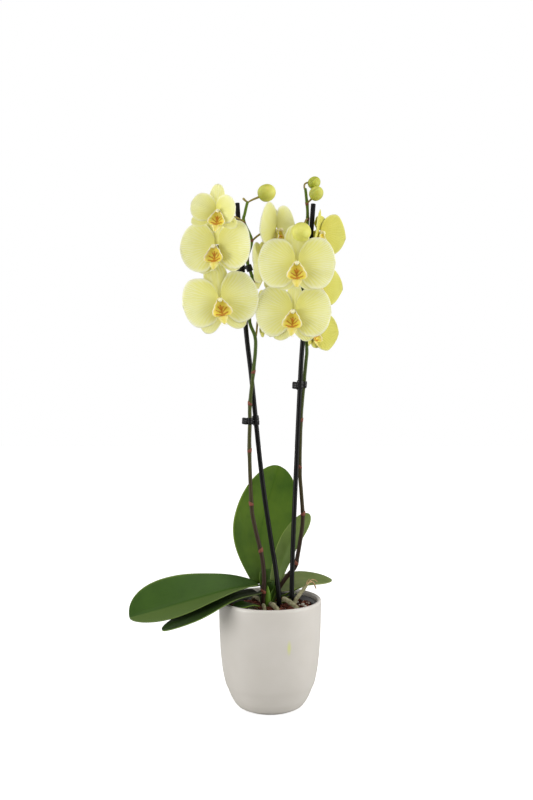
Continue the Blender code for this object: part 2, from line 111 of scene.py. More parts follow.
class Finish(Nodes):
    """A new material with its Principled shader at hand."""

    def __init__(self, name, **sockets):
        self.material = bpy.data.materials.new(name)
        self.material.use_nodes = True
        super().__init__(self.material.node_tree)
        self.shader = self.tree.nodes["Principled BSDF"]
        for socket, value in sockets.items():
            self.shader.inputs[socket.replace("_", " ")].default_value = value

    def place(self):
        return self.add("TexCoord").outputs["Object"]

    def chart(self):
        return self.add("TexCoord").outputs["UV"]

    def stretched(self, vector, *scale):
        return self.add("Mapping", Vector=vector, Scale=scale).outputs[0]

    def mark(self, name):
        return self.add("Attribute", {"attribute_name": name}).outputs["Fac"]

    def noise(self, vector, scale, detail=3.0):
        return self.add("TexNoise", Vector=vector, Scale=scale, Detail=detail).outputs[0]

    def ramp(self, value, *stops):
        node = self.add("ValToRGB", Fac=value)
        points = node.color_ramp.elements
        while len(points) < len(stops):
            points.new(0.5)
        for point, (position, colour) in zip(points, stops):
            point.position = position
            point.color = colour
        return node.outputs[0]

    def mottle(self, value, first, second):
        """Patches of two screen colours."""
        return self.ramp(value, (0.3, paint(*first)), (0.7, paint(*second)))

    def blend(self, share, first, second, how="MIX"):
        node = self.add("Mix", {"data_type": "RGBA", "blend_type": how}, i0=share, i6=first, i7=second)
        return node.outputs[2]

    def colour(self, value):
        self.tree.links.new(value, self.shader.inputs["Base Color"])

    def rough(self, value, low, high):
        self.tree.links.new(self.remap(value, low=low, high=high), self.shader.inputs["Roughness"])

    def bump(self, height, distance, strength=1.0):
        node = self.add("Bump", Height=height, Distance=distance, Strength=strength)
        self.tree.links.new(node.outputs[0], self.shader.inputs["Normal"])


WHITE = (1.0, 1.0, 1.0, 1.0)
print("middle green in linear numbers:", paint(62, 90, 37))

# %% [markdown]
# ## Room, light and camera
# A white room keeps the plant free of hard shadows. One way is to light it with lamps
# alone, but soft light from everywhere is closer to a studio with white walls. The room
# is pure white to look at and gives a dimmer light, stronger from the two sides than
# from the front, so that round forms keep a soft shade down their middle. A big soft lamp
# on the left, a weaker one on the right and one above do the rest.

# %% Room light
DIM_FRONT, BRIGHT_SIDE = 0.17, 1.12
SIDE_START, SIDE_END = 0.15, 0.85  # how far to the side a direction points
room = bpy.data.worlds.new("white_room")
room.use_nodes = True
scene.world = room
sky = Nodes(room.node_tree)
seen = sky.tree.nodes["Background"]
seen.inputs["Color"].default_value = WHITE
seen.inputs["Strength"].default_value = 1.0
way = sky.add("SeparateXYZ", Vector=sky.add("TexCoord").outputs["Generated"])
sideways = sky.math("ABSOLUTE", way.outputs["X"])
strength = sky.remap(sideways, SIDE_START, SIDE_END, DIM_FRONT, BRIGHT_SIDE)
given = sky.add("Background", Color=(1.0, 0.99, 0.975, 1.0), Strength=strength)
choice = sky.add("MixShader", i0=sky.seen_by_camera(), i1=given.outputs[0], i2=seen.outputs[0])
sky.tree.links.new(choice.outputs[0], sky.tree.nodes["World Output"].inputs["Surface"])
print("room light runs from", DIM_FRONT, "to", BRIGHT_SIDE)

# %% Lamps
MIDDLE = Vector((0.0, 0.0, 0.36))  # of the plant, where the lamps point


def soft_lamp(name, place, width, watts):
    lamp = bpy.data.lights.new(name, "AREA")
    lamp.shape = "DISK"
    lamp.size = width
    lamp.energy = watts
    holder = bpy.data.objects.new(name, lamp)
    scene.collection.objects.link(holder)
    holder.location = place
    holder.rotation_euler = (MIDDLE - Vector(place)).to_track_quat("-Z", "Y").to_euler()


soft_lamp("key_lamp", (-2.3, -1.1, 0.2), 1.6, 38.0)
soft_lamp("fill_lamp", (2.3, -0.7, 0.5), 1.6, 28.0)
soft_lamp("top_lamp", (0.2, -0.9, 2.2), 1.2, 10.0)

# %% Camera
LOOK_DOWN = 7.2  # degrees
camera = bpy.data.cameras.new("camera")
camera.lens = 79.65
holder = bpy.data.objects.new("camera", camera)
scene.collection.objects.link(holder)
holder.location = (-0.0045, -2.2, 0.675)
holder.rotation_euler = (math.radians(90 - LOOK_DOWN), 0, 0)
scene.camera = holder
print("camera lens", camera.lens)

# %% [markdown]
# ## Floor
# The floor is a wide pale board. To look at, it glows a little, so that it is as white
# as the room while the pot still darkens it faintly where the two meet. The glow is
# kept out of the light that reaches the plant, or the leaves would be lit from below.

# %% Floor
pale = Finish("pale_floor", Roughness=0.95, Specular_IOR_Level=0.0)
pale.shader.inputs["Emission Color"].default_value = WHITE
FLOOR_GLOW = 0.80
glow = pale.times(pale.seen_by_camera(), FLOOR_GLOW)
pale.tree.links.new(glow, pale.shader.inputs["Emission Strength"])
pale.colour(pale.mottle(pale.noise(pale.place(), 3.0), (204, 204, 202), (210, 210, 208)))
bm = bmesh.new()
bmesh.ops.create_grid(bm, x_segments=4, y_segments=4, size=2.2)
mesh = bpy.data.meshes.new("floor")
bm.to_mesh(mesh)
bm.free()
mesh.materials.append(pale.material)
floor = bpy.data.objects.new("floor", mesh)
scene.collection.objects.link(floor)
print("floor is", floor.dimensions.x, "m wide")

# %% [markdown]
# ## Small helpers for shapes
# Nearly every part of a plant is a sheet or a rod. A sheet starts as a flat grid whose
# points are moved by a rule, and a rod is the same grid wrapped round a path, with its
# seam and its two ends merged. The grid brings a chart (its UV map) along for free, so
# that veins can follow the surface. Marks are extra numbers kept on the points. The
# tables of points are in millimetres, and everything built from them is in metres.

# %% Path helpers
def metres(point):
    return Vector([part / 1000 for part in point])


def smooth_path(points, per_span):
    """Points in metres along a Catmull-Rom curve through the given ones in millimetres."""
    knots = [metres(point) for point in points]
    ends = [2 * knots[0] - knots[1], *knots, 2 * knots[-1] - knots[-2]]
    path = []
    for before, start, end, after in zip(ends, ends[1:], ends[2:], ends[3:]):
        for step in range(per_span):
            t = step / per_span
            path.append(0.5 * (
                2 * start + (end - before) * t
                + (2 * before - 5 * start + 4 * end - after) * t ** 2
                + (3 * start - before - 3 * end + after) * t ** 3
            ))
    return path + [knots[-1]]


def point_on(path, share):
    """The point at a share of a path's length."""
    lengths = [(end - start).length for start, end in zip(path, path[1:])]
    left = share * sum(lengths)
    for start, end, length in zip(path, path[1:], lengths):
        if left <= length:
            return start.lerp(end, left / length)
        left -= length
    return path[-1]


def path_at(points, height):
    """The point and direction of a stem or stick at a height in metres."""
    path = smooth_path(points, 12)
    for below, above in zip(path, path[1:]):
        if below.z <= height <= above.z:
            share = (height - below.z) / (above.z - below.z)
            return below.lerp(above, share), (above - below).normalized()
    raise ValueError(f"nothing at height {height}")


def between(stops, share):
    """A number read off a list of (share, number) stops, eased between them."""
    for (start, first), (end, last) in zip(stops, stops[1:]):
        if share <= end:
            t = (share - start) / (end - start)
            return first + (last - first) * t * t * (3 - 2 * t)
    return stops[-1][1]


corner = smooth_path([(0, 0, 0), (1000, 0, 0), (1000, 1000, 0)], 6)
print("half way along a bend:", point_on(corner, 0.5))

# %% Grid helpers
def new_shape(*marks):
    bm = bmesh.new()
    bm.loops.layers.uv.new("UVMap")
    for mark in marks:
        bm.verts.layers.float.new(mark)
    return bm


WELD = 1e-6  # points closer than this become one
LEAF_WELD = 1e-5


def shaped_grid(bm, rows, columns, place, marks=None, chart=None, weld=0.0):
    """Adds a grid and moves its points to place(u, v), u from 0 to 1 and v from -1 to 1."""
    made = bmesh.ops.create_grid(bm, x_segments=rows, y_segments=columns, size=1.0, calc_uvs=True)
    verts = made["verts"]
    ways = {vertex: ((vertex.co.x + 1) / 2, vertex.co.y) for vertex in verts}
    for vertex, (u, v) in ways.items():
        vertex.co = place(u, v)
        for mark, rule in (marks or {}).items():
            vertex[bm.verts.layers.float[mark]] = rule(u, v)
    if chart:
        layer = bm.loops.layers.uv["UVMap"]
        for vertex, (u, v) in ways.items():
            for loop in vertex.link_loops:
                loop[layer].uv = chart(u, v)
    if weld:
        bmesh.ops.remove_doubles(bm, verts=verts, dist=weld)


def rod(bm, path, radius, around=10, blunt=1.0, marks=None):
    """A closed round bar along a path, radius(share) thick, with rounded or blunt ends."""
    last = len(path) - 1
    side = None
    rings = []
    for index, point in enumerate(path):
        ahead = (path[min(index + 1, last)] - path[max(index - 1, 0)]).normalized()
        side = side or ahead.orthogonal().normalized()
        side = (side - ahead * side.dot(ahead)).normalized()
        thick = radius(index / last)
        ring = [(point, 1.0)]
        cap = ahead * thick * blunt
        if index == 0:
            ring = [(point - cap * math.cos(a), math.sin(a)) for a in (0, 0.5, 1.0)] + ring
        if index == last:
            ring += [(point + cap * math.cos(a), math.sin(a)) for a in (1.0, 0.5, 0)]
        for centre, swell in ring:
            rings.append((centre, side * thick * swell, ahead.cross(side) * thick * swell))

    def place(u, v):
        centre, right, up = rings[round(u * (len(rings) - 1))]
        turn = math.pi * (v + 1)
        return centre + right * math.cos(turn) + up * math.sin(turn)

    shaped_grid(bm, len(rings) - 1, around, place, marks, weld=WELD)


def finish_piece(name, bm, finish, slot, *nodes):
    """Turns a shape into a piece of the plant that stands in for the named nodes."""
    bmesh.ops.recalc_face_normals(bm, faces=bm.faces)
    mesh = bpy.data.meshes.new(name)
    bm.to_mesh(mesh)
    bm.free()
    mesh.shade_smooth()
    mesh.materials.append(finish.material)
    piece = bpy.data.objects.new(name, mesh)
    scene.collection.objects.link(piece)
    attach(piece, "root")
    if nodes:
        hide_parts(*nodes)
    return piece


def thicken(piece, thickness):
    """Gives an open sheet a wall and rounds it off."""
    wall = piece.modifiers.new("wall", "SOLIDIFY")
    wall.thickness = thickness
    wall.offset = 0.0
    round_off = piece.modifiers.new("round_off", "SUBSURF")
    round_off.levels = 1
    round_off.render_levels = 1


def turned(bm, profile, steps):
    """Spins (radius, height) points about the upright axis into a closed shell."""
    verts = [bm.verts.new((radius, 0, height)) for radius, height in profile]
    edges = [bm.edges.new(pair) for pair in zip(verts, verts[1:])]
    bmesh.ops.spin(
        bm, geom=verts + edges, cent=(0, 0, 0), axis=(0, 0, 1),
        angle=2 * math.pi, steps=steps, use_merge=True,
    )
    bmesh.ops.remove_doubles(bm, verts=bm.verts, dist=WELD)


print("shape helpers ready")

# %% [markdown]
# ## Ceramic cover pot
# The pot is one wall of glazed clay: a small flat foot, a full curve up to the belly and
# a nearly straight side to a rounded rim. A lathe makes such a form, and here the spin
# operator is the lathe. The glaze is satin, warm white and very slightly cloudy, with
# one faint drip stain on its front.

# %% Glaze
glaze = Finish("satin_glaze", Coat_Weight=0.18, Coat_Roughness=0.22)
where = glaze.place()
cloud = glaze.noise(where, 38.0, 4.0)
clay = glaze.mottle(cloud, (209, 204, 196), (212, 207, 200))
DRIP = (-0.0236, 0.0594, -0.0282)  # moves the stain's middle to the origin, once it is squashed
DRIP_CORE, DRIP_EDGE = 0.0008, 0.0034  # its radii, in metres
to_drip = glaze.add("Mapping", Vector=where, Location=DRIP, Scale=(1, 1, 0.3)).outputs[0]
spot = glaze.add("VectorMath", {"operation": "LENGTH"}, i0=to_drip).outputs["Value"]
faint = glaze.remap(spot, DRIP_CORE, DRIP_EDGE, 0.75, 0.0)
glaze.colour(glaze.blend(faint, clay, paint(214, 218, 130)))
glaze.rough(cloud, 0.36, 0.46)
glaze.bump(glaze.noise(where, 900.0, 2.0), 0.00004)
print("glaze nodes:", len(glaze.tree.nodes))

# %% Cover pot
POT_SIDE = [  # radius and height in millimetres
    (31, 0), (40.7, 4.6), (47, 12.5), (50.8, 20), (54, 28),
    (57.2, 36), (60.4, 52), (61.8, 64), (62.9, 75), (64.2, 99),
    (64.7, 120), (65, 138),
]
POT_WALL = 0.0045
POT_TOP = 0.143
FOOT_EDGE = 0.0302

side = [(p.x, p.z) for p in smooth_path([(r, 0, z) for r, z in POT_SIDE], 3)]
inner = [(r - POT_WALL, z + POT_WALL * (1 - z / POT_TOP)) for r, z in side]
rim_radius = POT_WALL / 2
rim_rise = rim_radius * 1.1
rim = []
for step in range(1, 10):
    turn = math.radians(20 * step)
    out = side[-1][0] - rim_radius + rim_radius * math.cos(turn)
    rim.append((out, POT_TOP - rim_rise + rim_rise * math.sin(turn)))
bm = new_shape()
turned(bm, [(0, 0), (FOOT_EDGE, 0), *side, *rim, *reversed(inner), (0, POT_WALL)], 120)
pot = finish_piece("cover_pot_glazed", bm, glaze, "ceramic", "cover_pot")
print("pot points:", len(pot.data.vertices))

# %% [markdown]
# ## Grow pot
# The plant grows in a thin dark plastic pot, of which only the upper edge shows inside
# the rim. It is turned on the lathe too, and then its wall is pressed into shallow ribs
# by moving each point in or out with its angle.

# %% Grow pot
smoke = Finish("smoky_plastic", Roughness=0.3, Specular_IOR_Level=0.5)
smear = smoke.noise(smoke.place(), 60.0, 4.0)
smoke.colour(smoke.ramp(smear, (0.3, paint(40, 41, 38)), (0.75, paint(62, 62, 58))))
smoke.rough(smear, 0.22, 0.42)
GROW_POT = [  # radius, height
    (0.022, 0.0185), (0.0425, 0.0185), (0.0470, 0.050), (0.0520, 0.090), (0.0566, 0.128),
    (0.0572, 0.1362), (0.0590, 0.1366), (0.0592, 0.1371), (0.0590, 0.1375), (0.0560, 0.1374),
    (0.0554, 0.128), (0.0508, 0.090), (0.0458, 0.050), (0.0413, 0.0197), (0.022, 0.0197),
    (0.022, 0.0185),
]
RIBS, RIB_SHARE, RIB_TOP = 24, 0.004, 0.129
bm = new_shape()
turned(bm, GROW_POT, 144)
for vertex in bm.verts:
    if vertex.co.z < RIB_TOP:
        angle = math.atan2(vertex.co.y, vertex.co.x)
        press = 1 - RIB_SHARE * (0.5 + 0.5 * math.cos(RIBS * angle))
        vertex.co.x *= press
        vertex.co.y *= press
grow_pot = finish_piece("grow_pot_ribbed", bm, smoke, "grow_pot", "grow_pot")
print("grow pot points:", len(grow_pot.data.vertices))

# %% [markdown]
# ## Bark, chips and perlite
# Orchids grow in coarse pine bark. A lathe-turned mound, roughened with noise, fills
# the pot, and loose chips lie on it. Each chip is a small block with its corners
# pushed about and its edges bevelled, which is enough at this size. White grains of
# perlite are scattered between them. The draws are seeded, so each run is the same.

# %% Bark finish
crumb = Finish("pine_bark", Roughness=0.9)
where = crumb.place()
grain = crumb.noise(where, 260.0, 6.0)
cell = crumb.add("TexVoronoi", Vector=where, Scale=130.0).outputs["Color"]
tone = crumb.ramp(
    grain, (0.25, paint(46, 24, 16)), (0.5, paint(112, 54, 32)), (0.8, paint(172, 104, 66)),
)
chip_tone = crumb.ramp(cell, (0.2, paint(84, 42, 26)), (0.8, paint(190, 124, 84)))
crumb.colour(crumb.blend(0.35, tone, chip_tone, "MULTIPLY"))
crumb.bump(grain, 0.0006)
print("bark nodes:", len(crumb.tree.nodes))

# %% Bark mound
BARK_TOP, BARK_FOOT = 0.1265, 0.080
BARK_RADIUS = 0.0543
MOUND = 0.0035


def mound_height(out):
    return BARK_TOP + MOUND * (1 - (out / BARK_RADIUS) ** 2)


bm = new_shape()
radii = [BARK_RADIUS * step / 14 for step in range(15)]
turned(bm, [(r, mound_height(r)) for r in radii] + [(0.0500, BARK_FOOT), (0.0, BARK_FOOT)], 72)
for vertex in bm.verts:
    if vertex.co.z > BARK_TOP - 0.001:
        vertex.co.z += 0.0011 * noise.noise(vertex.co * 160) - 0.0008
mound = finish_piece("bark_mound", bm, crumb, "bark", "bark")
print("mound points:", len(mound.data.vertices))

# %% Loose chips
CHIP_REACH = 0.0535  # furthest from the pot's middle that a chip's middle lies
HEAP = 0.0042  # how much higher the chips lie at the right
draw = random.uniform
random.seed(4)


def on_bark(angle, out, height):
    return Matrix.Translation((out * math.cos(angle), out * math.sin(angle), height))


bm = new_shape()
for _ in range(190):
    angle, out = draw(0, 2 * math.pi), CHIP_REACH * math.sqrt(random.random())
    size = Vector((draw(0.006, 0.014), draw(0.004, 0.008), draw(0.0018, 0.0040)))
    height = mound_height(out) + draw(0.0004, 0.0032)
    height += HEAP * max(0.0, math.cos(angle)) * out / CHIP_REACH
    out = min(out, 0.0545 - size.x / 2)
    lean = Matrix.Rotation(draw(-0.5, 0.5), 4, "X") @ Matrix.Rotation(draw(-0.4, 0.4), 4, "Y")
    turn = Matrix.Rotation(draw(0, math.pi), 4, "Z")
    shape = on_bark(angle, out, height) @ turn @ lean @ Matrix.Diagonal((*size, 1))
    made = bmesh.ops.create_cube(bm, size=1.0, matrix=shape)
    for vertex in made["verts"]:
        vertex.co += Vector([draw(-0.16, 0.16) * size[axis] for axis in range(3)])
bmesh.ops.bevel(
    bm, geom=bm.edges[:], offset=0.0005, segments=1, affect="EDGES", profile=0.5, material=-1,
)
chips = finish_piece("bark_chips", bm, crumb, "bark")
print("chips:", len(chips.data.polygons), "faces")

# %% Perlite
foam = Finish("perlite", Roughness=0.85)
foam.colour(foam.mottle(foam.noise(foam.place(), 700.0), (186, 178, 160), (236, 232, 220)))
foam.bump(foam.noise(foam.place(), 1500.0), 0.0002)
random.seed(11)
bm = new_shape()
for number in range(34):
    angle, out = draw(-1.5, 1.2), draw(0.012, 0.050)
    if number < 9:  # these gather at the right, close to the rim
        angle, out = draw(-0.5, 0.2), draw(0.036, 0.050)
    height = BARK_TOP + 0.0052 + 0.0030 * math.cos(angle) * out / 0.05
    size = draw(0.0011, 0.0024)
    shape = Matrix.Diagonal((draw(0.8, 1.4), 1, draw(0.7, 1), 1))
    place = on_bark(angle, out, height)
    bmesh.ops.create_icosphere(bm, subdivisions=2, radius=size, matrix=place @ shape)
for vertex in bm.verts:
    vertex.co += vertex.co.normalized() * 0.0003 * noise.noise(vertex.co * 900)
perlite = finish_piece("perlite_grains", bm, foam, "bark")
print("perlite:", len(perlite.data.polygons), "faces")

# %% [markdown]
# ## Leaves
# An orchid leaf is a thick strap with a keel: narrow where it clasps the stem, broad in
# the blade, folded up a little on both sides of its midrib. It could be sculpted, but a
# rule is easier to steer: a spine gives its path, and every row of the grid is set
# across the spine, turned and folded. Fine lengthwise veins come from the chart.

# %% Leaf finish
# The colour of a painted sheen: reflected light painted onto one half of a leaf.
PAINTED_SHEEN = paint(92, 112, 58)


def leaf_finish(name, *tones):
    """The tones are the dark and light of the blade, its edge, and the painted shade at its foot."""
    dark, light, edge, painted_foot_shade = [paint(*tone) for tone in tones]
    skin = Finish(name, Roughness=0.40, Specular_IOR_Level=0.30)
    chart = skin.chart()
    drift = skin.noise(skin.place(), 22.0, 3.0)
    body = skin.ramp(drift, (0.28, dark), (0.72, light))
    thin = skin.noise(skin.stretched(chart, 2.5, 85, 1), 1.0, 2.0)
    thin_tone = skin.ramp(thin, (0.3, (0.25, 0.25, 0.25, 1)), (0.7, WHITE))
    body = skin.blend(0.18, body, thin_tone, "MULTIPLY")
    across = skin.mark("across")
    rib = skin.remap(across, 0.0, 0.05, 0.55, 0.0)
    body = skin.blend(rib, body, dark)
    rim_share = skin.remap(across, 0.94, 1.0, 0.0, 0.85)
    body = skin.blend(rim_share, body, edge)
    # Painted shade: the foot of the blade is darkened where the leaves overlap at the crown.
    body = skin.blend(skin.times(skin.mark("painted_foot_shade"), 0.85), body, painted_foot_shade)
    # Painted sheen: one half of the blade is paled like reflected light.
    body = skin.blend(skin.times(skin.mark("painted_sheen"), 0.75), body, PAINTED_SHEEN)
    skin.colour(body)
    skin.rough(drift, 0.42, 0.54)
    height = skin.math("ADD", skin.times(thin, 0.4), skin.noise(skin.place(), 90.0, 2.0))
    skin.bump(height, 0.0005, 0.5)
    return skin


leaf_dark = leaf_finish("leaf_dark", (52, 82, 20), (66, 98, 28), (112, 136, 48), (14, 22, 6))
leaf_bright = leaf_finish("leaf_bright", (60, 92, 18), (94, 124, 30), (118, 142, 50), (34, 50, 16))
leaf_back_skin = leaf_finish(
    "leaf_underside", (92, 118, 48), (128, 148, 80), (134, 150, 74), (50, 68, 26),
)
leaf_pale_back = leaf_finish(
    "leaf_pale_underside", (106, 124, 66), (142, 154, 98), (146, 154, 90), (70, 84, 40),
)
# A darker copy of the leaf finish: painted shade for the leaves that lie under the wide left leaf.
leaf_painted_shade = leaf_finish("leaf_painted_shade", (36, 56, 14), (48, 72, 22), (104, 132, 42), (44, 40, 34))
print("leaf finishes ready")

# %% Leaf shape
LEAF_WALL = 0.0016
KEEL_ROUND = 0.0016
LEAF_WAVE = 0.0009
NEARBY = 0.12  # the shares of the spine on both sides that give its direction


def leaf_width(share, widest, foot=0.24):
    """Half width as a share of its greatest: a narrow sheath, then a broad blade."""
    if share < widest:
        return foot + (1 - foot) * math.sin(math.pi / 2 * share / widest)
    return math.sqrt(max(0.0, 1 - ((share - widest) / (1 - widest)) ** 2.4))


def leaf(
    name, node, finish, spine, half_width, widest, roll, fold, up,
    painted_foot_shade=0.25, slim=0.0, painted_sheen=0.0, point=0.0, foot=0.24,
):
    """A thick blade along a spine, rolled, folded and pointed, with its foot in the dusk.

    slim narrows one half of the blade towards its tip, and the painted sheen pales that half like a soft
    reflection of light.
    """
    path = smooth_path(spine, 8)
    guide = Vector(up)

    def place(u, v):
        along = math.sin(u * math.pi / 2)
        centre = point_on(path, along)
        ahead, behind = min(1.0, along + NEARBY), max(0.0, along - NEARBY)
        tangent = (point_on(path, ahead) - point_on(path, behind)).normalized()
        side = tangent.cross(guide).normalized()
        normal = side.cross(tangent).normalized()
        turn = Matrix.Rotation(math.radians(roll * along ** 0.55), 3, tangent)
        side, normal = turn @ side, turn @ normal
        half = half_width * leaf_width(along, widest, foot) * (1 - point * along ** 3)
        if v * slim < 0:
            half *= 1 - abs(slim) * max(0.0, (along - 0.35) / 0.65) ** 1.5
        reach = half * v
        keel = math.sqrt(reach * reach + KEEL_ROUND ** 2) - KEEL_ROUND
        lift = math.radians(fold * (1.6 - 0.6 * along))
        wave = LEAF_WAVE * math.sin(9 * along + 2.0 * v)
        wave *= abs(v) ** 2 * min(1.0, 4 * along * (1 - along))
        return centre + side * reach * math.cos(lift) + normal * (keel * math.sin(lift) + wave)

    marks = {
        "across": lambda u, v: abs(v),
        # painted shade at the foot, fading out along the blade
        "painted_foot_shade": lambda u, v: painted_foot_shade * max(0.0, 1 - 2.6 * u),
        "painted_sheen": lambda u, v: painted_sheen * min(1.0, max(0.0, -12 * v * (1 if slim > 0 else -1))),
    }
    bm = new_shape(*marks)
    shaped_grid(bm, 30, 16, place, marks, weld=LEAF_WELD)
    thicken(finish_piece(name, bm, finish, "leaf", node), LEAF_WALL)


print("blade half way:", leaf_width(0.5, 0.6))

# %% Six leaves
OVER, BEHIND = (0, 0, 1), (0, -1, 0)
leaf(
    "leaf_wide_left", "leaf_left_upper", leaf_dark,
    [(-13, 6, 158), (-43, -8, 158), (-78, -18, 151), (-176, -36, 127)],
    0.0375, 0.66, -46.0, 20.0, OVER, slim=0.45, painted_sheen=1.0,
)
leaf(
    "leaf_under_left", "leaf_left_lower", leaf_painted_shade,
    [(-15, -4, 152), (-50, -27, 150), (-90, -47, 134), (-134, -59, 117)],
    0.020, 0.6, -8.0, 6.0, OVER, painted_foot_shade=0.9, foot=0.6,
)
leaf(
    "leaf_small_left", "leaf_left_small", leaf_painted_shade,
    [(-14, -14, 136.5), (-30, -26, 140.5), (-46, -33, 140)],
    0.010, 0.6, -10.0, 10.0, OVER,
)
leaf(
    "leaf_tall_back", "leaf_back", leaf_bright,
    [(-9, 15.5, 158), (-12, 41, 209), (-6, 55, 247), (11, 67, 303)],
    0.0400, 0.54, 0.0, 10.0, BEHIND, slim=0.22, foot=0.34,
)
leaf(
    "leaf_upright_right", "leaf_right_upright", leaf_back_skin,
    [(6.5, 11, 162), (15, 18, 187), (27, 26, 213), (50, 33, 246)],
    0.0140, 0.62, -28.0, 16.0, BEHIND, foot=0.55,
)
leaf(
    "leaf_low_right", "leaf_right_low", leaf_pale_back,
    [(4.5, 16.5, 147), (33, 32, 157), (55, 36, 159), (80, 38, 157.5)],
    0.0215, 0.40, 24.0, 6.0, OVER, point=0.5,
)


def pieces_from(start):
    """The pieces whose names start so, without the fixed model's own nodes."""
    return [o for o in scene.objects if o.name.startswith(start) and o.name not in frame["nodes"]]


print("leaves:", sorted(piece.name for piece in pieces_from("leaf_")))

# %% [markdown]
# ## Crown
# The leaves clasp a short upright stem. Its overlapping sheaths are half-rolled sheets,
# each wider at its mouth than at its foot, set round the stem at different heights. A
# bright young sheath stands in front, and a few narrow green strips lean to the right.

# %% Crown
young = leaf_finish("young_green", (74, 112, 26), (104, 140, 40), (150, 168, 70), (70, 80, 30))
CROWN = Vector((-0.003, 0.006, 0.1295))
LEAF_MARKS = ("across", "painted_foot_shade", "painted_sheen")


def sheath(bm, foot, facing, height, radius, flare, spread, tip):
    """A half-rolled sheet that stands on foot, open away from the way that it faces."""
    def place(u, v):
        wide = spread * (1 - tip * u ** 3)
        turn = math.radians(facing) + math.radians(wide) * v
        out = radius * (1 + flare * u * u)
        return foot + Vector((out * math.cos(turn), out * math.sin(turn), height * (u - 0.06 * v * v * u)))

    # The foot of each sheath is darkened with painted shade.
    marks = {"across": lambda u, v: abs(v) * 0.98, "painted_foot_shade": lambda u, v: max(0.0, 0.6 - 2 * u)}
    shaped_grid(bm, 12, 12, place, marks)


bm = new_shape(*LEAF_MARKS)
for facing, rise, height, radius, flare in (
    (180, 0.0, 0.032, 0.0070, 0.45), (0, 0.0, 0.028, 0.0072, 0.35),
    (150, -0.001, 0.022, 0.0086, 0.40), (30, -0.001, 0.024, 0.0084, 0.35),
    (100, 0.002, 0.046, 0.0072, 0.75), (60, 0.002, 0.040, 0.0080, 0.80),
):
    sheath(bm, CROWN + Vector((0, 0, rise)), facing, height, radius, flare, 92, 0.55)
crown = finish_piece("crown_sheaths", bm, leaf_dark, "leaf", "crown")
thicken(crown, 0.0010)
bm = new_shape(*LEAF_MARKS)
sheath(bm, Vector((-0.0032, -0.0015, 0.1310)), -88, 0.030, 0.0046, -0.35, 84, 0.9)
thicken(finish_piece("young_sheath", bm, young, "leaf"), 0.0008)
print("crown points:", len(crown.data.vertices))

# %% Green strips
bm = new_shape(*LEAF_MARKS)
for start, bend, end, half in (
    ((6, 6, 141), (22, 4, 148), (40, 10, 156), 0.0022),
    ((5, 3, 137), (18, 0, 142.5), (35, 3, 150), 0.0017),
    ((8, 1, 135), (20, -3, 140), (30, -1, 144.5), 0.0013),
):
    path = smooth_path([start, bend, end], 6)

    lean = Vector((-0.2, -0.75, 0.6)).normalized()

    def place(u, v):
        width = half * math.sin(math.pi * (0.12 + 0.88 * u)) ** 0.6 if u < 1 else 0.0
        return point_on(path, u) + lean * width * v - Vector((0, 0, 0.25 * width * (1 - v * v)))

    # Painted shade darkens each strip towards its foot.
    marks = {"across": lambda u, v: abs(v), "painted_foot_shade": lambda u, v: 0.4 - 0.3 * u}
    shaped_grid(bm, 14, 4, place, marks, weld=LEAF_WELD)
strips = finish_piece("green_strips", bm, young, "leaf")
thicken(strips, 0.0006)
print("strips:", len(strips.data.polygons), "faces")

# %% [markdown]
# ## Sticks
# Two round plastic sticks hold the spikes up. They are plain rods with blunt tops, so
# their finish has to carry them: near black, faintly scuffed along their length.

# %% Sticks
STICK_LEFT = [
    (13, -2, 45), (11.8, -2, 135), (7.3, 0, 180), (1.5, 4, 216),
    (-10.9, 8, 303), (-23.5, 11, 425), (-31.1, 12, 495), (-40.9, 12, 642),
]
STICK_RIGHT = [
    (27, -2, 45), (27.5, 0, 149), (29, 1, 212), (32.5, 3, 300),
    (37.4, 6, 412.5), (40.9, 8, 472), (53.7, 12, 641),
]
STICK_RADIUS = 0.0030
black = Finish("black_stick", Roughness=0.45, Specular_IOR_Level=0.2)
scuff = black.noise(black.stretched(black.place(), 1, 1, 0.08), 700.0, 4.0)
black.colour(black.ramp(scuff, (0.35, paint(5, 5, 5)), (0.8, paint(15, 14, 14))))
black.rough(scuff, 0.32, 0.55)
black.bump(scuff, 0.00008)
for name, knots in (("stick_left", STICK_LEFT), ("stick_right", STICK_RIGHT)):
    bm = new_shape()
    rod(bm, smooth_path(knots, 6), lambda share: STICK_RADIUS, 16, blunt=0.25)
    finish_piece(name + "_round", bm, black, "stick", name)
print("sticks stand", STICK_LEFT[-1][2], "mm high")

# %% [markdown]
# ## Flower spikes
# A spike is a jointed stem: at each joint it thickens a little and wears a dry
# bract. It runs from purple-brown at the foot through olive to fresh green. The
# thickness is a rule along the rod, and the colour follows the height.

# %% Spike paths
STEM_LEFT = [
    (-9, -5, 137), (-8.2, -5.8, 156), (-7.6, -6, 171), (-9.2, -6, 192),
    (-12.3, -6, 208), (-20.3, -5, 242), (-23.6, -4, 267), (-26, 0, 334),
    (-25.4, 3, 369), (-25.2, 3, 392), (-21, 3, 432), (-18.3, 4, 460),
    (-19, 4, 477), (-26.2, 4, 500), (-21.5, 4, 544), (-28.5, 4, 572),
    (-23, 4, 596), (-32.6, 3, 619), (-31.2, 2, 630), (-28.2, 1, 643),
]
STEM_RIGHT = [
    (8, 7, 148), (13.5, 9, 158), (24, 11, 172), (32, 12, 181.5),
    (35.7, 12, 199), (40, 12, 226), (41.6, 12, 247), (39.6, 12, 277),
    (37.7, 12, 308), (38.8, 13, 368), (40.8, 13.5, 397), (45, 15, 443),
    (46.2, 17, 457), (44.8, 20, 478), (40.5, 23, 520), (41.5, 24, 560),
    (44.5, 23, 595), (46.5, 21, 615), (46.6, 19, 634), (45, 18, 650),
    (44, 18, 659),
]
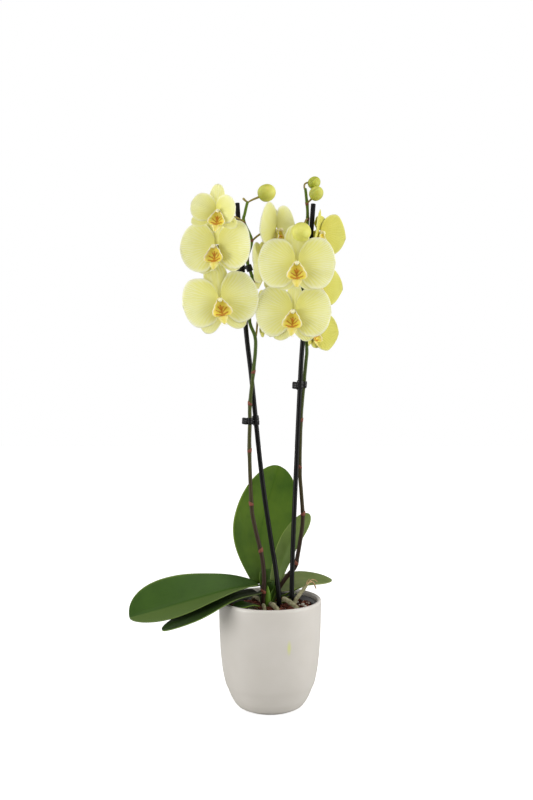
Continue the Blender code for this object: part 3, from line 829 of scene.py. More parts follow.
JOINTS_LEFT = (0.1531, 0.2063, 0.2655, 0.3326, 0.392, 0.432, 0.500, 0.544, 0.572, 0.596, 0.619)
JOINTS_RIGHT = (0.1858, 0.2497, 0.3104, 0.3697, 0.4168, 0.476, 0.522, 0.556, 0.590, 0.622, 0.641)
print("joints:", len(JOINTS_LEFT), "and", len(JOINTS_RIGHT))

# %% Stem finish
rind = Finish("spike_rind", Roughness=0.48, Specular_IOR_Level=0.3)
where = rind.place()
height = rind.add("SeparateXYZ", Vector=where).outputs["Z"]
share = rind.remap(height, 0.14, 0.66)
stray = rind.times(rind.math("SUBTRACT", rind.noise(where, 55.0, 4.0), 0.5), 0.16)
share = rind.math("ADD", share, stray)
tone = rind.ramp(
    share, (0.0, paint(50, 31, 18)), (0.16, paint(52, 36, 18)), (0.28, paint(60, 52, 18)),
    (0.45, paint(66, 70, 20)), (0.62, paint(68, 90, 20)), (0.95, paint(98, 124, 36)),
)
fleck = rind.noise(rind.stretched(where, 1, 1, 0.15), 1400.0, 3.0)
fleck_tone = rind.ramp(fleck, (0.3, (0.3, 0.26, 0.2, 1)), (0.7, WHITE))
rind.colour(rind.blend(0.25, tone, fleck_tone, "MULTIPLY"))
rind.bump(fleck, 0.0001)
husk = Finish("bract_husk", Roughness=0.65)
husk_noise = husk.noise(husk.place(), 420.0, 4.0)
husk.colour(husk.blend(
    husk.mark("share"), husk.mottle(husk_noise, (92, 38, 28), (124, 58, 42)),
    husk.mottle(husk_noise, (112, 62, 44), (150, 98, 70)),
))
husk.bump(husk_noise, 0.0002)
tan = Finish("stalk_rind", Roughness=0.45)
tan_noise = tan.noise(tan.place(), 130.0, 3.0)
tan.colour(tan.blend(
    tan.mark("share"), tan.mottle(tan_noise, (116, 96, 38), (136, 118, 46)),
    tan.mottle(tan_noise, (150, 132, 66), (178, 162, 84)),
))
tan.bump(tan.noise(tan.place(), 1200.0), 0.0001)
print("stem finishes ready")

# %% Stems and bracts
STEM_FOOT, STEM_TIP = 0.0029, 0.0018  # radii
SOIL, SPIKE_TALL = 0.14, 0.52  # where a spike starts, and how far up it thins


def stem(name, node, knots, joints):
    path = smooth_path(knots, 5)
    heights = [point.z for point in path]

    def radius(share):
        height = heights[round(share * (len(path) - 1))]
        swell = sum(math.exp(-((height - joint) / 0.0035) ** 2) for joint in joints)
        return STEM_FOOT - (STEM_FOOT - STEM_TIP) * share + 0.0004 * swell

    bm = new_shape()
    rod(bm, path, radius, 14)
    finish_piece(name, bm, rind, "stem", node)


def bracts(name, knots, joints):
    """A pointed half-sleeve at each joint, on alternate sides."""
    bm = new_shape("share")
    for index, joint in enumerate(joints):
        centre, way = path_at(knots, joint - 0.0012)
        size = STEM_FOOT - (STEM_FOOT - STEM_TIP) * (joint - SOIL) / SPIKE_TALL
        facing = math.radians(-90 + (62 if index % 2 else -62))
        side = Vector((math.cos(facing), math.sin(facing), 0))
        side = (side - way * side.dot(way)).normalized()
        up = way.cross(side)
        tall = 0.0066 - 0.005 * (joint - SOIL)

        def place(u, v):
            turn = math.radians(150 * (1 - u ** 1.7)) * v
            out = size * (1.14 + 0.14 * u)
            return centre + way * tall * (u - 0.12) + (side * math.cos(turn) + up * math.sin(turn)) * out

        shaped_grid(bm, 8, 12, place, {"share": lambda u, v: u}, weld=WELD)
    thicken(finish_piece(name, bm, husk, "stem"), 0.00035)


stem("spike_left_stem", "spike_left", STEM_LEFT, JOINTS_LEFT)
stem("spike_right_stem", "spike_right", STEM_RIGHT, JOINTS_RIGHT)
bracts("bracts_left", STEM_LEFT, JOINTS_LEFT)
bracts("bracts_right", STEM_RIGHT, JOINTS_RIGHT)
print("stems and bracts made")

# %% [markdown]
# ## Clips
# Spring clips tie each stem to its stick: a ribbed sleeve on the stick, an open sleeve
# round the stem, a web between them and a round finger tab with three raised ribs.
# Each is turned or rounded from a basic shape, then moved to where stick and stem are.

# %% Clip parts
gloss = Finish("clip_plastic", Roughness=0.35, Specular_IOR_Level=0.3)
wear = gloss.noise(gloss.place(), 300.0, 4.0)
gloss.colour(gloss.ramp(wear, (0.4, paint(8, 8, 8)), (0.85, paint(20, 19, 20))))
gloss.rough(wear, 0.24, 0.42)


def aimed(centre, axis):
    """The matrix that moves a shape from the origin to centre and turns its Z to axis."""
    return Matrix.Translation(centre) @ Vector(axis).to_track_quat("Z", "Y").to_matrix().to_4x4()


def join(bm, part):
    """Copies a finished part into a larger shape."""
    bmesh.ops.recalc_face_normals(part, faces=part.faces)
    mesh = bpy.data.meshes.new("part")
    part.to_mesh(mesh)
    part.free()
    bm.from_mesh(mesh)
    bpy.data.meshes.remove(mesh)


SLEEVE = (  # share of the wall, share of the half height, of a sleeve with two raised bands
    (1.0, -0.5), (1.25, -0.42), (1.25, -0.22), (1.0, -0.14),
    (1.0, 0.14), (1.25, 0.22), (1.25, 0.42), (1.0, 0.5),
)


def sleeve(bm, centre, axis, bore, wall, height):
    part = new_shape()
    top, soft = height / 2, wall * 0.35
    bands = [(bore + wall * out, top * up) for out, up in SLEEVE]
    turned(part, [
        (bore, -top), (bore + wall - soft, -top), (bore + wall, -top + soft), *bands,
        (bore + wall, top - soft), (bore + wall - soft, top), (bore, top), (bore, -top),
    ], 28)
    bmesh.ops.transform(part, matrix=aimed(centre, axis), verts=part.verts)
    join(bm, part)


def tab(bm, place, away, width, height, depth):
    """A rounded paddle that stands out from a sleeve, with three raised ribs across it."""
    out_here = aimed(place, away)
    part = new_shape()
    bmesh.ops.create_cube(part, size=1.0, matrix=Matrix.Diagonal((width, height, depth, 1)))
    bmesh.ops.bevel(
        part, geom=part.edges[:], offset=depth * 0.42, segments=3, affect="EDGES", profile=0.5, material=-1,
    )
    bmesh.ops.transform(part, matrix=out_here, verts=part.verts)
    join(bm, part)
    for rise in (-0.28, 0.0, 0.28):
        rib = new_shape()
        start, end = [Vector((way * width * 0.36, rise * height, depth * 0.5)) for way in (-1, 1)]
        rod(rib, [start, start.lerp(end, 0.5), end], lambda share: depth * 0.2, 8)
        bmesh.ops.transform(rib, matrix=out_here, verts=rib.verts)
        join(bm, rib)


print("clip parts ready")

# %% Three clips
def clip(name, node, stick, knots, height, away, on_stem, size):
    """Two sleeves and a web at a height, and a tab that points away from stem or stick."""
    stick_at, stick_way = path_at(stick, height)
    stem_at, stem_way = path_at(knots, height)
    bm = new_shape()
    sleeve(bm, stick_at, stick_way, STICK_RADIUS, 0.0012, 0.0120)
    sleeve(bm, stem_at, stem_way, 0.0029, 0.0010, 0.0084)
    web = new_shape()
    gap = stem_at - stick_at
    rod(web, [stick_at + gap * share for share in (0.35, 0.5, 0.65)], lambda share: 0.0017, 10, 0.4)
    join(bm, web)
    away = Vector(away).normalized()
    root = stem_at if on_stem else stick_at
    neck = new_shape()
    rod(neck, [root + away * far for far in (0.0030, 0.0045, 0.0060)], lambda share: 0.0016, 10, 0.3)
    join(bm, neck)
    tab(bm, root + away * 0.0064, Vector((away.x, -abs(away.y) - 0.9, 0.1)), *size)
    finish_piece(name, bm, gloss, "clip", node)


LEFT, RIGHT = (STICK_LEFT, STEM_LEFT), (STICK_RIGHT, STEM_RIGHT)
clip("clip_low_left", "clip_left_low", *LEFT, 0.3700, (-1, 0, 0), True, (0.0085, 0.0085, 0.0030))
clip("clip_high_left", "clip_left_high", *LEFT, 0.5620, (-0.8, 0.6, 0), False, (0.0095, 0.0105, 0.0030))
clip("clip_of_right", "clip_right", *RIGHT, 0.4150, (-1, -0.25, 0), False, (0.0080, 0.0090, 0.0030))
for piece in pieces_from("clip_"):
    piece.data.set_sharp_from_angle(angle=math.radians(40))
print("clips:", [piece.name for piece in pieces_from("clip_")])

# %% [markdown]
# ## Roots
# Aerial roots have a spongy grey-white coat and stay green near their growing tips.
# They are rods again, but uneven: each ring is a little thicker or thinner, and noise
# wrinkles the surface. The thin dry rootlets near the rim branch from the tall root.

# %% Roots
coat = Finish("root_coat", Roughness=0.8)
where = coat.place()
patch = coat.noise(where, 240.0, 5.0)
coat.colour(coat.blend(
    coat.mark("share"), coat.mottle(patch, (104, 100, 70), (166, 162, 130)),
    coat.mottle(patch, (96, 98, 52), (146, 142, 96)),
))
coat.bump(patch, 0.0004)
dry = Finish("dry_rootlet", Roughness=0.7)
dry.colour(dry.mottle(dry.noise(dry.place(), 500.0), (150, 112, 72), (204, 174, 130)))
dry.bump(dry.noise(dry.place(), 1100.0), 0.0002)


ROOT_STRAY = 0.0006


def root(bm, knots, first, last, wobble):
    """An uneven rod that thins from its first radius to its last."""
    path = smooth_path(knots, 7)
    for point in path:
        shifts = [noise.noise(point * 120 + Vector((9.3 * axis, 0, 0))) for axis in range(3)]
        point += Vector(shifts) * ROOT_STRAY

    def radius(share):
        return (first + (last - first) * share) * (1 + wobble * math.sin(23 * share + 40 * first))

    rod(bm, path, radius, 12, marks={"share": lambda u, v: u ** 3})


ROOTS = {
    "root_front": ([(-8, -11, 136.5), (-7.2, -19.5, 135), (-7, -24, 120)], 0.0026, 0.0024),
    "root_middle": ([(1, -7, 137), (4, -18, 138.5), (9, -25, 133), (11, -27, 118)], 0.0032, 0.0034),
    "root_right": ([(18, -9, 145), (26, -14, 140), (35, -19, 133), (39, -21, 118)], 0.0030, 0.0032),
    "root_over_rim": ([(25, -10, 122), (31, -6, 139), (39, 1, 150), (46.5, 8, 158)], 0.0031, 0.0022),
}
for node, (knots, first, last) in ROOTS.items():
    bm = new_shape("share")
    root(bm, knots, first, last, 0.07)
    finish_piece(node + "_coated", bm, coat, "root", node)
bm = new_shape("share")
for knots, first, last in (
    ([(46, 7.5, 157.8), (51, 12, 161.4), (56, 17, 159), (59.2, 21, 150.8)], 0.0012, 0.0008),
    ([(49, 10, 160.6), (52.3, 12, 163.6), (57, 15, 163.4), (60.1, 18, 160.4)], 0.0008, 0.0005),
    ([(46.5, 8, 158.5), (47.8, 10, 162.5), (50, 12, 165)], 0.0007, 0.0004),
):
    root(bm, knots, first, last, 0.10)
finish_piece("dry_rootlets", bm, dry, "root", "root_tip")
bm = new_shape("share")
for knots, first, last in (
    ([(-16, -4, 130), (-24, -14, 134), (-30, -26, 131), (-33, -30, 122)], 0.0022, 0.0020),
    ([(6, 12, 131), (20, 20, 135), (34, 22, 132), (40, 22, 124)], 0.0024, 0.0020),
    ([(-8, 16, 131), (-16, 30, 136), (-22, 42, 133), (-24, 46, 124)], 0.0024, 0.0022),
    ([(16, -4, 128), (30, -10, 131.5), (44, -12, 130), (50, -12, 124)], 0.0018, 0.0014),
):
    root(bm, knots, first, last, 0.08)
finish_piece("roots_in_bark", bm, coat, "root")
print("roots made")

# %% [markdown]
# ## Petal finishes
# A petal is nearly white at its edge and lemon inside, with fine pale veins that fan
# out from its foot. A painted picture could show that, but a rule stays sharp: the
# chart of each petal holds the angle round its foot and the distance from it, so bands
# across the angle are veins. A little light passes under the surface and softens it.

# %% Petal finishes
def petal_finish(name, *tones, vein_strength, edge_reach):
    """The tones are the ground, the veins, the edge and the foot of the petal."""
    ground, vein, edge, foot = [paint(*tone) for tone in tones]
    skin = Finish(
        name, Roughness=0.6, Specular_IOR_Level=0.2,
        Subsurface_Weight=0.3, Subsurface_Scale=0.004, Subsurface_Radius=(1.0, 1.0, 0.8),
    )
    chart = skin.chart()
    wander = skin.add("TexNoise", Vector=chart, Scale=7.0, Detail=3.0).outputs["Color"]
    bent = skin.add("Mix", {"data_type": "VECTOR"}, i0=0.03, i4=chart, i5=wander).outputs[1]
    wide = skin.add("TexWave", Vector=bent, Scale=4.2, Distortion=1.1, Detail=2.0).outputs["Fac"]
    fine = skin.add("TexWave", Vector=bent, Scale=8.8, Distortion=1.6, Detail=2.0).outputs["Fac"]
    far = skin.add("SeparateXYZ", Vector=chart).outputs["Y"]
    fork = skin.remap(far, 0.35, 0.75)
    veins = skin.add("Mix", i0=fork, i2=wide, i3=fine).outputs[0]
    breaks = skin.remap(skin.noise(skin.place(), 110.0), 0.3, 0.7, 0.35, 1.0)
    veins = skin.times(skin.math("POWER", veins, 1.4), breaks)
    drift = skin.remap(skin.noise(skin.place(), 42.0, 3.0), 0.35, 0.65)
    deep = (ground[0] * 0.93, ground[1] * 0.92, ground[2] * 0.72, 1.0)
    body = skin.blend(drift, ground, deep)
    body = skin.blend(skin.times(veins, vein_strength), body, vein)
    near = skin.remap(far, 0.05, 0.80, 0.80, 0.0)
    body = skin.blend(near, body, foot)
    margin = skin.remap(skin.mark("margin"), edge_reach, 1.0, 0.0, 0.55)
    skin.colour(skin.blend(margin, body, edge))
    skin.bump(skin.math("ADD", veins, skin.noise(skin.place(), 500.0)), 0.00035, 0.6)
    return skin


petal_pale = petal_finish(
    "petal_pale", (240, 240, 162), (249, 249, 218), (250, 250, 228), (226, 220, 108),
    vein_strength=0.75, edge_reach=0.45,
)
# A darker copy of the pale petal finish: painted shade for the flowers that face away from the light.
petal_painted_shade = petal_finish(
    "petal_painted_shade", (212, 209, 104), (224, 221, 138), (232, 230, 164), (202, 192, 72),
    vein_strength=0.50, edge_reach=0.60,
)
sepal_pale = petal_finish(
    "sepal_pale", (244, 242, 156), (250, 249, 206), (250, 249, 218), (240, 234, 132),
    vein_strength=0.60, edge_reach=0.55,
)
# A darker copy of the pale sepal finish: painted shade for the same flowers.
sepal_painted_shade = petal_finish(
    "sepal_painted_shade", (214, 210, 106), (224, 221, 138), (232, 230, 164), (204, 196, 78),
    vein_strength=0.45, edge_reach=0.65,
)
print("petal finishes ready")

# %% [markdown]
# ## Flowers
# A moth orchid flower has three sepals behind, two broad petals in front of them and a
# small cupped lip with a column above it. One rule shapes every sepal and petal: its
# width follows a rounded outline from a narrow claw, its middle is creased, its edge
# waves. The same flower is then sized, turned and set on its stalk eleven times.

# %% Flower places
FLOWERS = {  # centre, yaw, pitch, roll, size, fold, stalk's start on the stem
    "left_1": ((-66.4, -40, 632.5), -12, 10, 4, 0.66, 24, (-31.8, 3, 618)),
    "left_2": ((-65, -30, 590.5), -18, 8, -6, 0.97, 6, (-27.5, 4, 574)),
    "left_3": ((-61.5, -30, 525), 8, 8, -9, 1.00, 2, (-26.2, 4, 501)),
    "left_4": ((8, 28, 609), 58, 4, 8, 0.86, 0, (-23, 4, 595)),
    "left_5": ((-7, 30.5, 567), 66, 4, 4, 0.84, 0, (-21.7, 4, 545)),
    "left_6": ((-2.6, 34, 506), 72, 4, 4, 0.84, 0, (-18.4, 4, 474)),
    "right_1": ((32.5, -36, 570), -1, 9, 0, 1.00, 2, (41.3, 24, 556)),
    "right_2": ((29, -30, 510.5), -10, 9, 1, 1.00, 2, (40.5, 23, 522)),
    "right_3": ((61.5, 38, 606), 56, -4, 13, 0.84, 24, (44, 23, 590)),
    "right_4": ((59, 39, 541), 56, 0, 16, 0.82, 22, (40.8, 23, 532)),
    "right_5": ((54, 37, 483), 56, 8, 16, 0.80, 22, (45, 20, 476)),
}
USUAL = {
    "in_painted_shade": False,  # painted shade: darker copies of the colours, for the flowers that face away from the light
    "splay": 33,  # degrees from straight down to a side sepal
    "side": 0.045,  # length of the side sepals
    "dorsal": (0.048, 0.0155, -0.003),  # length, half width and forward bend of the upper sepal
    "lift": 0,  # degrees up from level to a petal
    "width": 0.0315,  # half width of the petals
    "blunt": 0.82,  # over 1, the petals end in a blunt point
    "lip_size": 1.0,
    "lip_shift": 0.0,  # sideways
}
BACK_SEPAL, LEFT_BACK_SEPAL = (0.030, 0.0110, 0.0), (0.032, 0.0110, 0.0)
OWN = {  # where a flower isn't the usual one
    "left_1": {
        "splay": 60, "side": 0.050, "dorsal": (0.052, 0.0145, -0.003), "lift": 14, "width": 0.0265,
        "lip_size": 1.30, "lip_shift": 0.0065,
    },
    "left_2": {"splay": 42, "side": 0.041, "lip_shift": -0.0022},
    "left_3": {"lip_shift": -0.0010},
    "left_4": {"dorsal": BACK_SEPAL, "lift": 18},
    "left_5": {"dorsal": LEFT_BACK_SEPAL},
    "left_6": {"in_painted_shade": True, "dorsal": LEFT_BACK_SEPAL},
    "right_1": {"splay": 36, "side": 0.038},
    "right_2": {"side": 0.041, "dorsal": (0.036, 0.0095, 0.006)},
    "right_3": {"in_painted_shade": True, "side": 0.036, "dorsal": (0.024, 0.0150, 0.0), "blunt": 1.15},
    "right_4": {"in_painted_shade": True, "side": 0.036, "dorsal": BACK_SEPAL, "blunt": 1.15},
    "right_5": {"in_painted_shade": True, "side": 0.032, "dorsal": BACK_SEPAL, "blunt": 1.15},
}


def flower_matrix(centre, yaw, pitch, roll, size):
    turn = (
        Matrix.Rotation(math.radians(yaw), 4, "Z")
        @ Matrix.Rotation(math.radians(-pitch), 4, "X")
        @ Matrix.Rotation(math.radians(roll), 4, "Y")
    )
    return Matrix.Translation(metres(centre)) @ turn @ Matrix.Scale(size, 4)


print("flowers:", len(FLOWERS))

# %% One sepal or petal
SEPAL = {"bow": -0.0025, "claw": 0.55, "ruffle": 0.0008, "inner": 0.8, "fan": False}
PETAL = {"bow": -0.0034, "claw": 0.86, "ruffle": 0.0014, "inner": 0.62, "fan": True}
PETAL_LONG, PETAL_CUP = 0.0475, 0.0030
SIDE_WIDE, SIDE_CUP = 0.0135, -0.002
TEPAL_WALL = 0.0007


def tepal(bm, angle, tilt, length, half_width, cup, blunt, seed, bow, claw, ruffle, inner, fan):
    """One sheet of a flower, at an angle from straight right and tilted forward.

    cup and bow bend it along and across. inner and blunt shape its two ends, claw is the
    width of its foot, and fan spreads its veins.
    """
    out = Vector((math.cos(angle) * math.cos(tilt), -math.sin(tilt), math.sin(angle) * math.cos(tilt)))
    side = Vector((-math.sin(angle), 0, math.cos(angle)))
    foot = 0.0022
    first = 0.05

    def outline(u):
        turn = math.pi * (first + (1 - first) * u)
        along = (math.cos(math.pi * first) - math.cos(turn)) / (1 + math.cos(math.pi * first))
        narrow = claw + (1 - claw) * min(1.0, along / 0.30) ** 0.8
        width = half_width * max(0.0, math.sin(turn)) ** (blunt if turn > math.pi / 2 else inner) * narrow
        width *= 1 + 0.030 * math.sin(5.0 * along + 1.7 * seed) + 0.012 * math.sin(13.0 * along + seed)
        return along, width

    def place(u, v):
        along, width = outline(u)
        swell = 0.04 * (1 - v * v) * math.sin(math.pi * along)
        reach = foot + (length - foot) * (along + swell - 0.02 * v * v * along)
        crease = 0.0007 * math.exp(-(v / 0.13) ** 2) * math.sin(math.pi * along)
        wave = ruffle * abs(v) ** 2.5 * math.sin(9.5 * along + seed + 1.3 * v) * along
        forward = cup * along ** 2 + bow * (v * width / half_width) ** 2 * along - crease + wave
        return out * reach + side * width * v - Vector((0, forward, 0))

    def chart(u, v):
        along, width = outline(u)
        if fan:
            return (math.atan2(width * v, 0.004 + length * along) * 0.64 + 0.5, along)
        return (0.5 + 0.14 * v, along)

    marks = {"margin": lambda u, v: min(1.0, abs(v) ** 4 + outline(u)[0] ** 9)}
    shaped_grid(bm, 18, 14, place, marks, chart, weld=WELD)


def sepals(bm, shape, fold, seed):
    tilt = math.radians(0.3 * fold)
    length, half_width, bend = shape["dorsal"]
    tepal(bm, math.radians(90), tilt, length, half_width, bend, 0.62, seed, **SEPAL)
    for way in (-1, 1):
        angle = math.radians(-90) + way * math.radians(shape["splay"])
        tepal(bm, angle, tilt, shape["side"], SIDE_WIDE, SIDE_CUP, 0.78, seed + way, **SEPAL)


def petals(bm, shape, fold, seed):
    tilt, lift = math.radians(fold), math.radians(shape["lift"])
    for angle, shift in ((lift, 0.0), (math.pi - lift, 2.0)):
        tepal(
            bm, angle, tilt, PETAL_LONG, shape["width"], PETAL_CUP, shape["blunt"], seed + shift, **PETAL,
        )


print("petal rule ready")

# %% [markdown]
# ## Lip and column
# The lip is a cup with a white rim that narrows to a point under the column. Inside
# it is yellow, with orange-brown branching marks. A small tongue hangs below with two
# fine whiskers. The column is a short pale rod with a rounded cap over the cup.

# %% Lip finish
lip_skin = Finish(
    "lip_painted", Roughness=0.5, Specular_IOR_Level=0.35, Subsurface_Weight=0.08, Subsurface_Scale=0.003,
)
blotch = lip_skin.noise(lip_skin.place(), 820.0, 3.0)
broken = lip_skin.times(lip_skin.math("SUBTRACT", blotch, 0.5), 1.9)
marked = lip_skin.math("ADD", lip_skin.mark("marked"), broken)
marked = lip_skin.remap(marked, 0.30, 0.75, high=0.92)
yellow = lip_skin.mottle(lip_skin.noise(lip_skin.place(), 160.0), (224, 204, 58), (234, 220, 96))
body = lip_skin.blend(lip_skin.mark("pale"), yellow, paint(248, 245, 222))
brown = lip_skin.ramp(blotch, (0.35, paint(160, 88, 14)), (0.65, paint(204, 130, 26)))
lip_skin.colour(lip_skin.blend(marked, body, brown))
lip_skin.bump(blotch, 0.0002)
print("lip nodes:", len(lip_skin.tree.nodes))

# %% Lip shape
# The cup's half width, the depth of its rim and of its back, by share of its height.
CUP_WIDTH = ((0.0, 0.0014), (0.18, 0.0044), (0.42, 0.0082), (0.70, 0.0116), (0.86, 0.0120), (1.0, 0.0092))
CUP_RIM = ((0.0, 0.0010), (0.30, 0.0050), (0.62, 0.0080), (0.82, 0.0062), (1.0, 0.0020))
CUP_BACK = ((0.0, 0.0052), (0.35, 0.0026), (0.70, 0.0036), (1.0, 0.0078))
CUP_TOP, CUP_TALL = 0.0072, 0.0232
TONGUE = ((0.0, 0.0058), (0.30, 0.0062), (0.70, 0.0034), (1.0, 0.0010))  # half widths
TONGUE_TALL = 0.0115
BRANCHES = (  # start and end (x, height) of each brown branch in the cup, and its half width
    ((0.0, -0.0160), (-0.0004, -0.0024), 0.0014), ((0.0, -0.0156), (-0.0080, -0.0132), 0.0014),
    ((0.0, -0.0154), (0.0074, -0.0122), 0.0014), ((0.0, -0.0128), (-0.0074, -0.0074), 0.0010),
    ((0.0, -0.0124), (0.0072, -0.0056), 0.0010), ((-0.0002, -0.0092), (-0.0034, -0.0038), 0.0010),
    ((0.0, -0.0088), (0.0032, -0.0040), 0.0010),
)


def cup_point(u, v):
    bend = v * math.pi / 2
    width, rim = between(CUP_WIDTH, u), between(CUP_RIM, u)
    roll_out = math.copysign(0.0010 * max(0.0, abs(v) - 0.8) / 0.2, v)
    forward = between(CUP_BACK, u) + rim * (1 - math.cos(bend))
    return Vector((width * math.sin(bend) + roll_out, -forward, CUP_TOP - CUP_TALL * u))


def branch_mark(u, v):
    """How strongly a point of the cup is marked: 1 on a branch, fading to 0 beside it."""
    point = Vector(cup_point(u, v).xz)
    mark = 0.0
    for start, end, half in BRANCHES:
        start, along = Vector(start), Vector(end) - Vector(start)
        share = min(1.0, max(0.0, (point - start).dot(along) / along.length_squared))
        beside = (point - start - along * share).length
        mark = max(mark, math.exp(-(beside / (half * (1.2 - 0.5 * share))) ** 2))
    return mark


def tongue_point(u, v):
    height = CUP_TOP - CUP_TALL * 0.95 - TONGUE_TALL * u
    return Vector((between(TONGUE, u) * v, -0.0072 - 0.0070 * u ** 1.3 + 0.0016 * v * v, height))


def lip_shape():
    bm = new_shape("pale", "marked")
    shaped_grid(bm, 36, 36, cup_point, {
        "pale": lambda u, v: min(1.0, abs(v) ** 7 * (1.3 - u ** 4) + max(0.0, 0.16 - u) * 3.0),
        "marked": branch_mark,
    })
    shaped_grid(
        bm, 8, 8, tongue_point,
        {"pale": lambda u, v: 0.05 + 0.30 * abs(v), "marked": lambda u, v: 0.5 * max(0.0, 0.6 - u)},
    )
    bmesh.ops.recalc_face_normals(bm, faces=bm.faces)
    bmesh.ops.solidify(bm, geom=bm.faces[:], thickness=0.0005)
    part = new_shape("pale", "marked")
    white = {"pale": lambda u, v: 0.7, "marked": lambda u, v: 0.0}
    column = smooth_path([(0, -0.5, 2.8), (0, -4.5, 4.4), (0, -8.8, 4.6)], 4)
    rod(part, column, lambda share: 0.0023 + 0.0003 * share, 14, marks=white)
    join(bm, part)
    for way in (-1, 1):
        part = new_shape("pale", "marked")
        whisker = smooth_path([
            (way * 0.4, -14, -26.2), (way * 1.4, -15.2, -27.8),
            (way * 3.2, -15, -27.6), (way * 4, -13.8, -26.4),
        ], 4)
        rod(part, whisker, lambda share: 0.00035 - 0.0002 * share, 6, marks=white)
        join(bm, part)
        for place, size, pale, marked in (
            (Vector((way * 0.0010, -0.0078, -0.0052)), (0.0011, 0.0016, 0.0016), 0.0, 0.8),
            (Vector((way * 0.0009, -0.0104, 0.0034)), (0.0013, 0.0015, 0.0016), 0.7, 0.0),
        ):
            part = new_shape("pale", "marked")
            ball = Matrix.Translation(place) @ Matrix.Diagonal((*size, 1))
            bmesh.ops.create_icosphere(part, subdivisions=3, radius=1.0, matrix=ball)
            for vertex in part.verts:
                vertex[part.verts.layers.float["pale"]] = pale
                vertex[part.verts.layers.float["marked"]] = marked
            join(bm, part)
    return bm


print("cup mouth is", round(2000 * max(width for _, width in CUP_WIDTH), 1), "mm wide")

# %% Eleven flowers
LIP_DROP, LIP_SHRINK = -0.0050, 0.98
SEPALS_BACK = 0.0021  # how far the sepals stand behind the petals


def flower_sheets(bm, matrix, name, kind, finish):
    bmesh.ops.transform(bm, matrix=matrix, verts=bm.verts)
    thicken(finish_piece(f"{kind}_{name}", bm, finish, "petal", f"flower_{name}_{kind}"), TEPAL_WALL)


for number, (name, (centre, yaw, pitch, roll, size, fold, _)) in enumerate(FLOWERS.items()):
    place = flower_matrix(centre, yaw, pitch, roll, size)
    shape = {**USUAL, **OWN[name]}
    bm = new_shape("margin")
    sepals(bm, shape, fold, number)
    behind = place @ Matrix.Translation((0, SEPALS_BACK, 0))
    flower_sheets(bm, behind, name, "sepals", sepal_painted_shade if shape["in_painted_shade"] else sepal_pale)
    bm = new_shape("margin")
    petals(bm, shape, fold, 1.7 * number)
    flower_sheets(bm, place, name, "petals", petal_painted_shade if shape["in_painted_shade"] else petal_pale)
    bm = lip_shape()
    drop = Matrix.Translation((shape["lip_shift"], 0, LIP_DROP))
    shrink = Matrix.Scale(LIP_SHRINK * shape["lip_size"], 4)
    bmesh.ops.transform(bm, matrix=place @ (drop @ shrink), verts=bm.verts)
    finish_piece(f"lip_{name}", bm, lip_skin, "lip", f"flower_{name}_lip")
print("flowers placed:", ", ".join(FLOWERS))

# %% [markdown]
# ## Stalks
# Each flower and bud hangs on its own thin stalk. It leaves the stem, rises a little and
# arrives along the flower's axis, which is what a curve with two handles does. The top
# bud's stalk makes a tight loop over the end of the spike.

# %% Stalks
BUDS = {  # centre, radius, how much longer than wide, ripeness, stalk's start on the stem
    "bud_left": ((-4.2, -4, 655), 0.0108, 1.04, 0.85, (-28.4, 1, 642)),
    "bud_right_round": ((37.8, -42, 608), 0.0118, 1.02, 1.0, (46.7, 20, 622)),
    "bud_right_middle": ((57.3, 9, 654), 0.0086, 1.08, 0.55, (46.2, 18, 641)),
    "bud_right_top": ((55, 25, 667.2), 0.0076, 1.10, 0.35, (44.2, 18, 657)),
}


def stalk_path(start, end, facing, steps=12):
    """A curve that leaves start a little upwards and arrives at end along facing."""
    reach = (end - start).length
    handle_out = start + (end - start) * 0.3 + Vector((0, 0, 0.12 * reach))
    handle_in = end - facing * 0.35 * reach
    path = []
    for step in range(steps + 1):
        t = step / steps
        path.append(
            start * (1 - t) ** 3 + handle_out * 3 * t * (1 - t) ** 2
            + handle_in * 3 * t ** 2 * (1 - t) + end * t ** 3
        )
    return path


bm = new_shape("share")
share_mark = {"share": lambda u, v: u}
for centre, yaw, pitch, roll, size, _, start in FLOWERS.values():
    facing = flower_matrix(centre, yaw, pitch, roll, 1.0).to_3x3() @ Vector((0, -1, 0))
    path = stalk_path(metres(start), metres(centre) - facing * 0.0022 * size, facing)
    rod(bm, path, lambda share: 0.0013 + 0.0005 * share ** 3, 10, marks=share_mark)
for name, (centre, radius, stretch, _, start) in BUDS.items():
    if name == "bud_right_top":  # its stalk is the loop below
        continue
    centre, start = metres(centre), metres(start)
    away = (centre - start).normalized()
    path = stalk_path(start, centre - away * radius * stretch * 0.92, away)
    rod(bm, path, lambda share: 0.0011 + 0.0004 * share ** 2, 10, marks=share_mark)
loop = smooth_path([
    (44.2, 18, 656), (42.5, 19, 661.5), (43.2, 21, 665.5),
    (46.2, 23, 667.2), (49, 24, 666.8),
], 5)
rod(bm, loop, lambda share: 0.0011, 10, marks=share_mark)
stub = smooth_path([(-28, 1, 643.5), (-30.5, 1, 645.2), (-32.9, 1, 647.5)], 4)
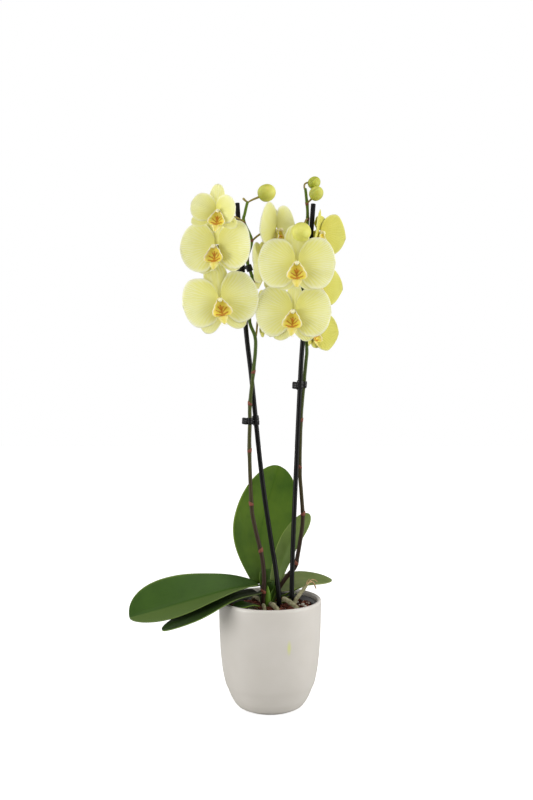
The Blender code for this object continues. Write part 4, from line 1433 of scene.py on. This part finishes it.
rod(bm, stub, lambda share: 0.0010 + 0.0005 * share, 8, marks=share_mark)
stalks = finish_piece("flower_stalks", bm, tan, "stem")
print("stalk points:", len(stalks.data.vertices))

# %% [markdown]
# ## Buds
# A bud is a closed egg of three sepals that meet in shallow seams. A ball is too even, so
# a grid is wrapped round the bud's axis with a rule for its outline, and the radius dips
# at three angles. Buds are green at the stalk and turn yellow towards the tip.

# %% Buds
bud_skin = Finish("bud_skin", Roughness=0.45, Subsurface_Weight=0.08, Subsurface_Scale=0.003)
drift = bud_skin.noise(bud_skin.place(), 120.0)
young_tone = bud_skin.mottle(drift, (146, 158, 28), (176, 184, 44))
ripe_tone = bud_skin.mottle(drift, (208, 206, 86), (226, 223, 114))
body = bud_skin.blend(bud_skin.mark("ripe"), young_tone, ripe_tone)
bud_skin.colour(bud_skin.blend(bud_skin.times(bud_skin.mark("seam"), 0.55), body, paint(138, 146, 46)))
streak = bud_skin.add("TexWave", Vector=bud_skin.chart(), Scale=6.0, Distortion=1.5).outputs["Fac"]
bud_skin.bump(streak, 0.0001)


def seam_depth(v, seed):
    """1 on each of three seams round a bud, and 0 between them."""
    return max(0.0, math.cos(1.5 * math.pi * v + seed)) ** 40


for number, (name, (centre, radius, stretch, ripeness, start)) in enumerate(BUDS.items()):
    place = aimed(metres(centre), metres(centre) - metres(start))

    def bud_point(u, v):
        turn, around = math.pi * u, math.pi * v
        dip = 0.05 * seam_depth(v, number) * math.sin(turn)
        out = radius * math.sin(turn) ** 0.88 * (1 - dip) * (1 + 0.05 * math.cos(turn))
        if u in (0.0, 1.0):
            out = 0.0
        rise = -radius * stretch * math.cos(turn)
        return place @ Vector((out * math.cos(around), out * math.sin(around), rise))

    bm = new_shape("ripe", "seam")
    shaped_grid(bm, 24, 48, bud_point, {
        "ripe": lambda u, v: ripeness * min(1.0, 0.25 + 1.1 * u),
        "seam": lambda u, v: seam_depth(v, number) * math.sin(math.pi * u),
    }, weld=WELD)
    finish_piece(f"{name}_seamed", bm, bud_skin, "bud", name)
print("buds:", len(BUDS))
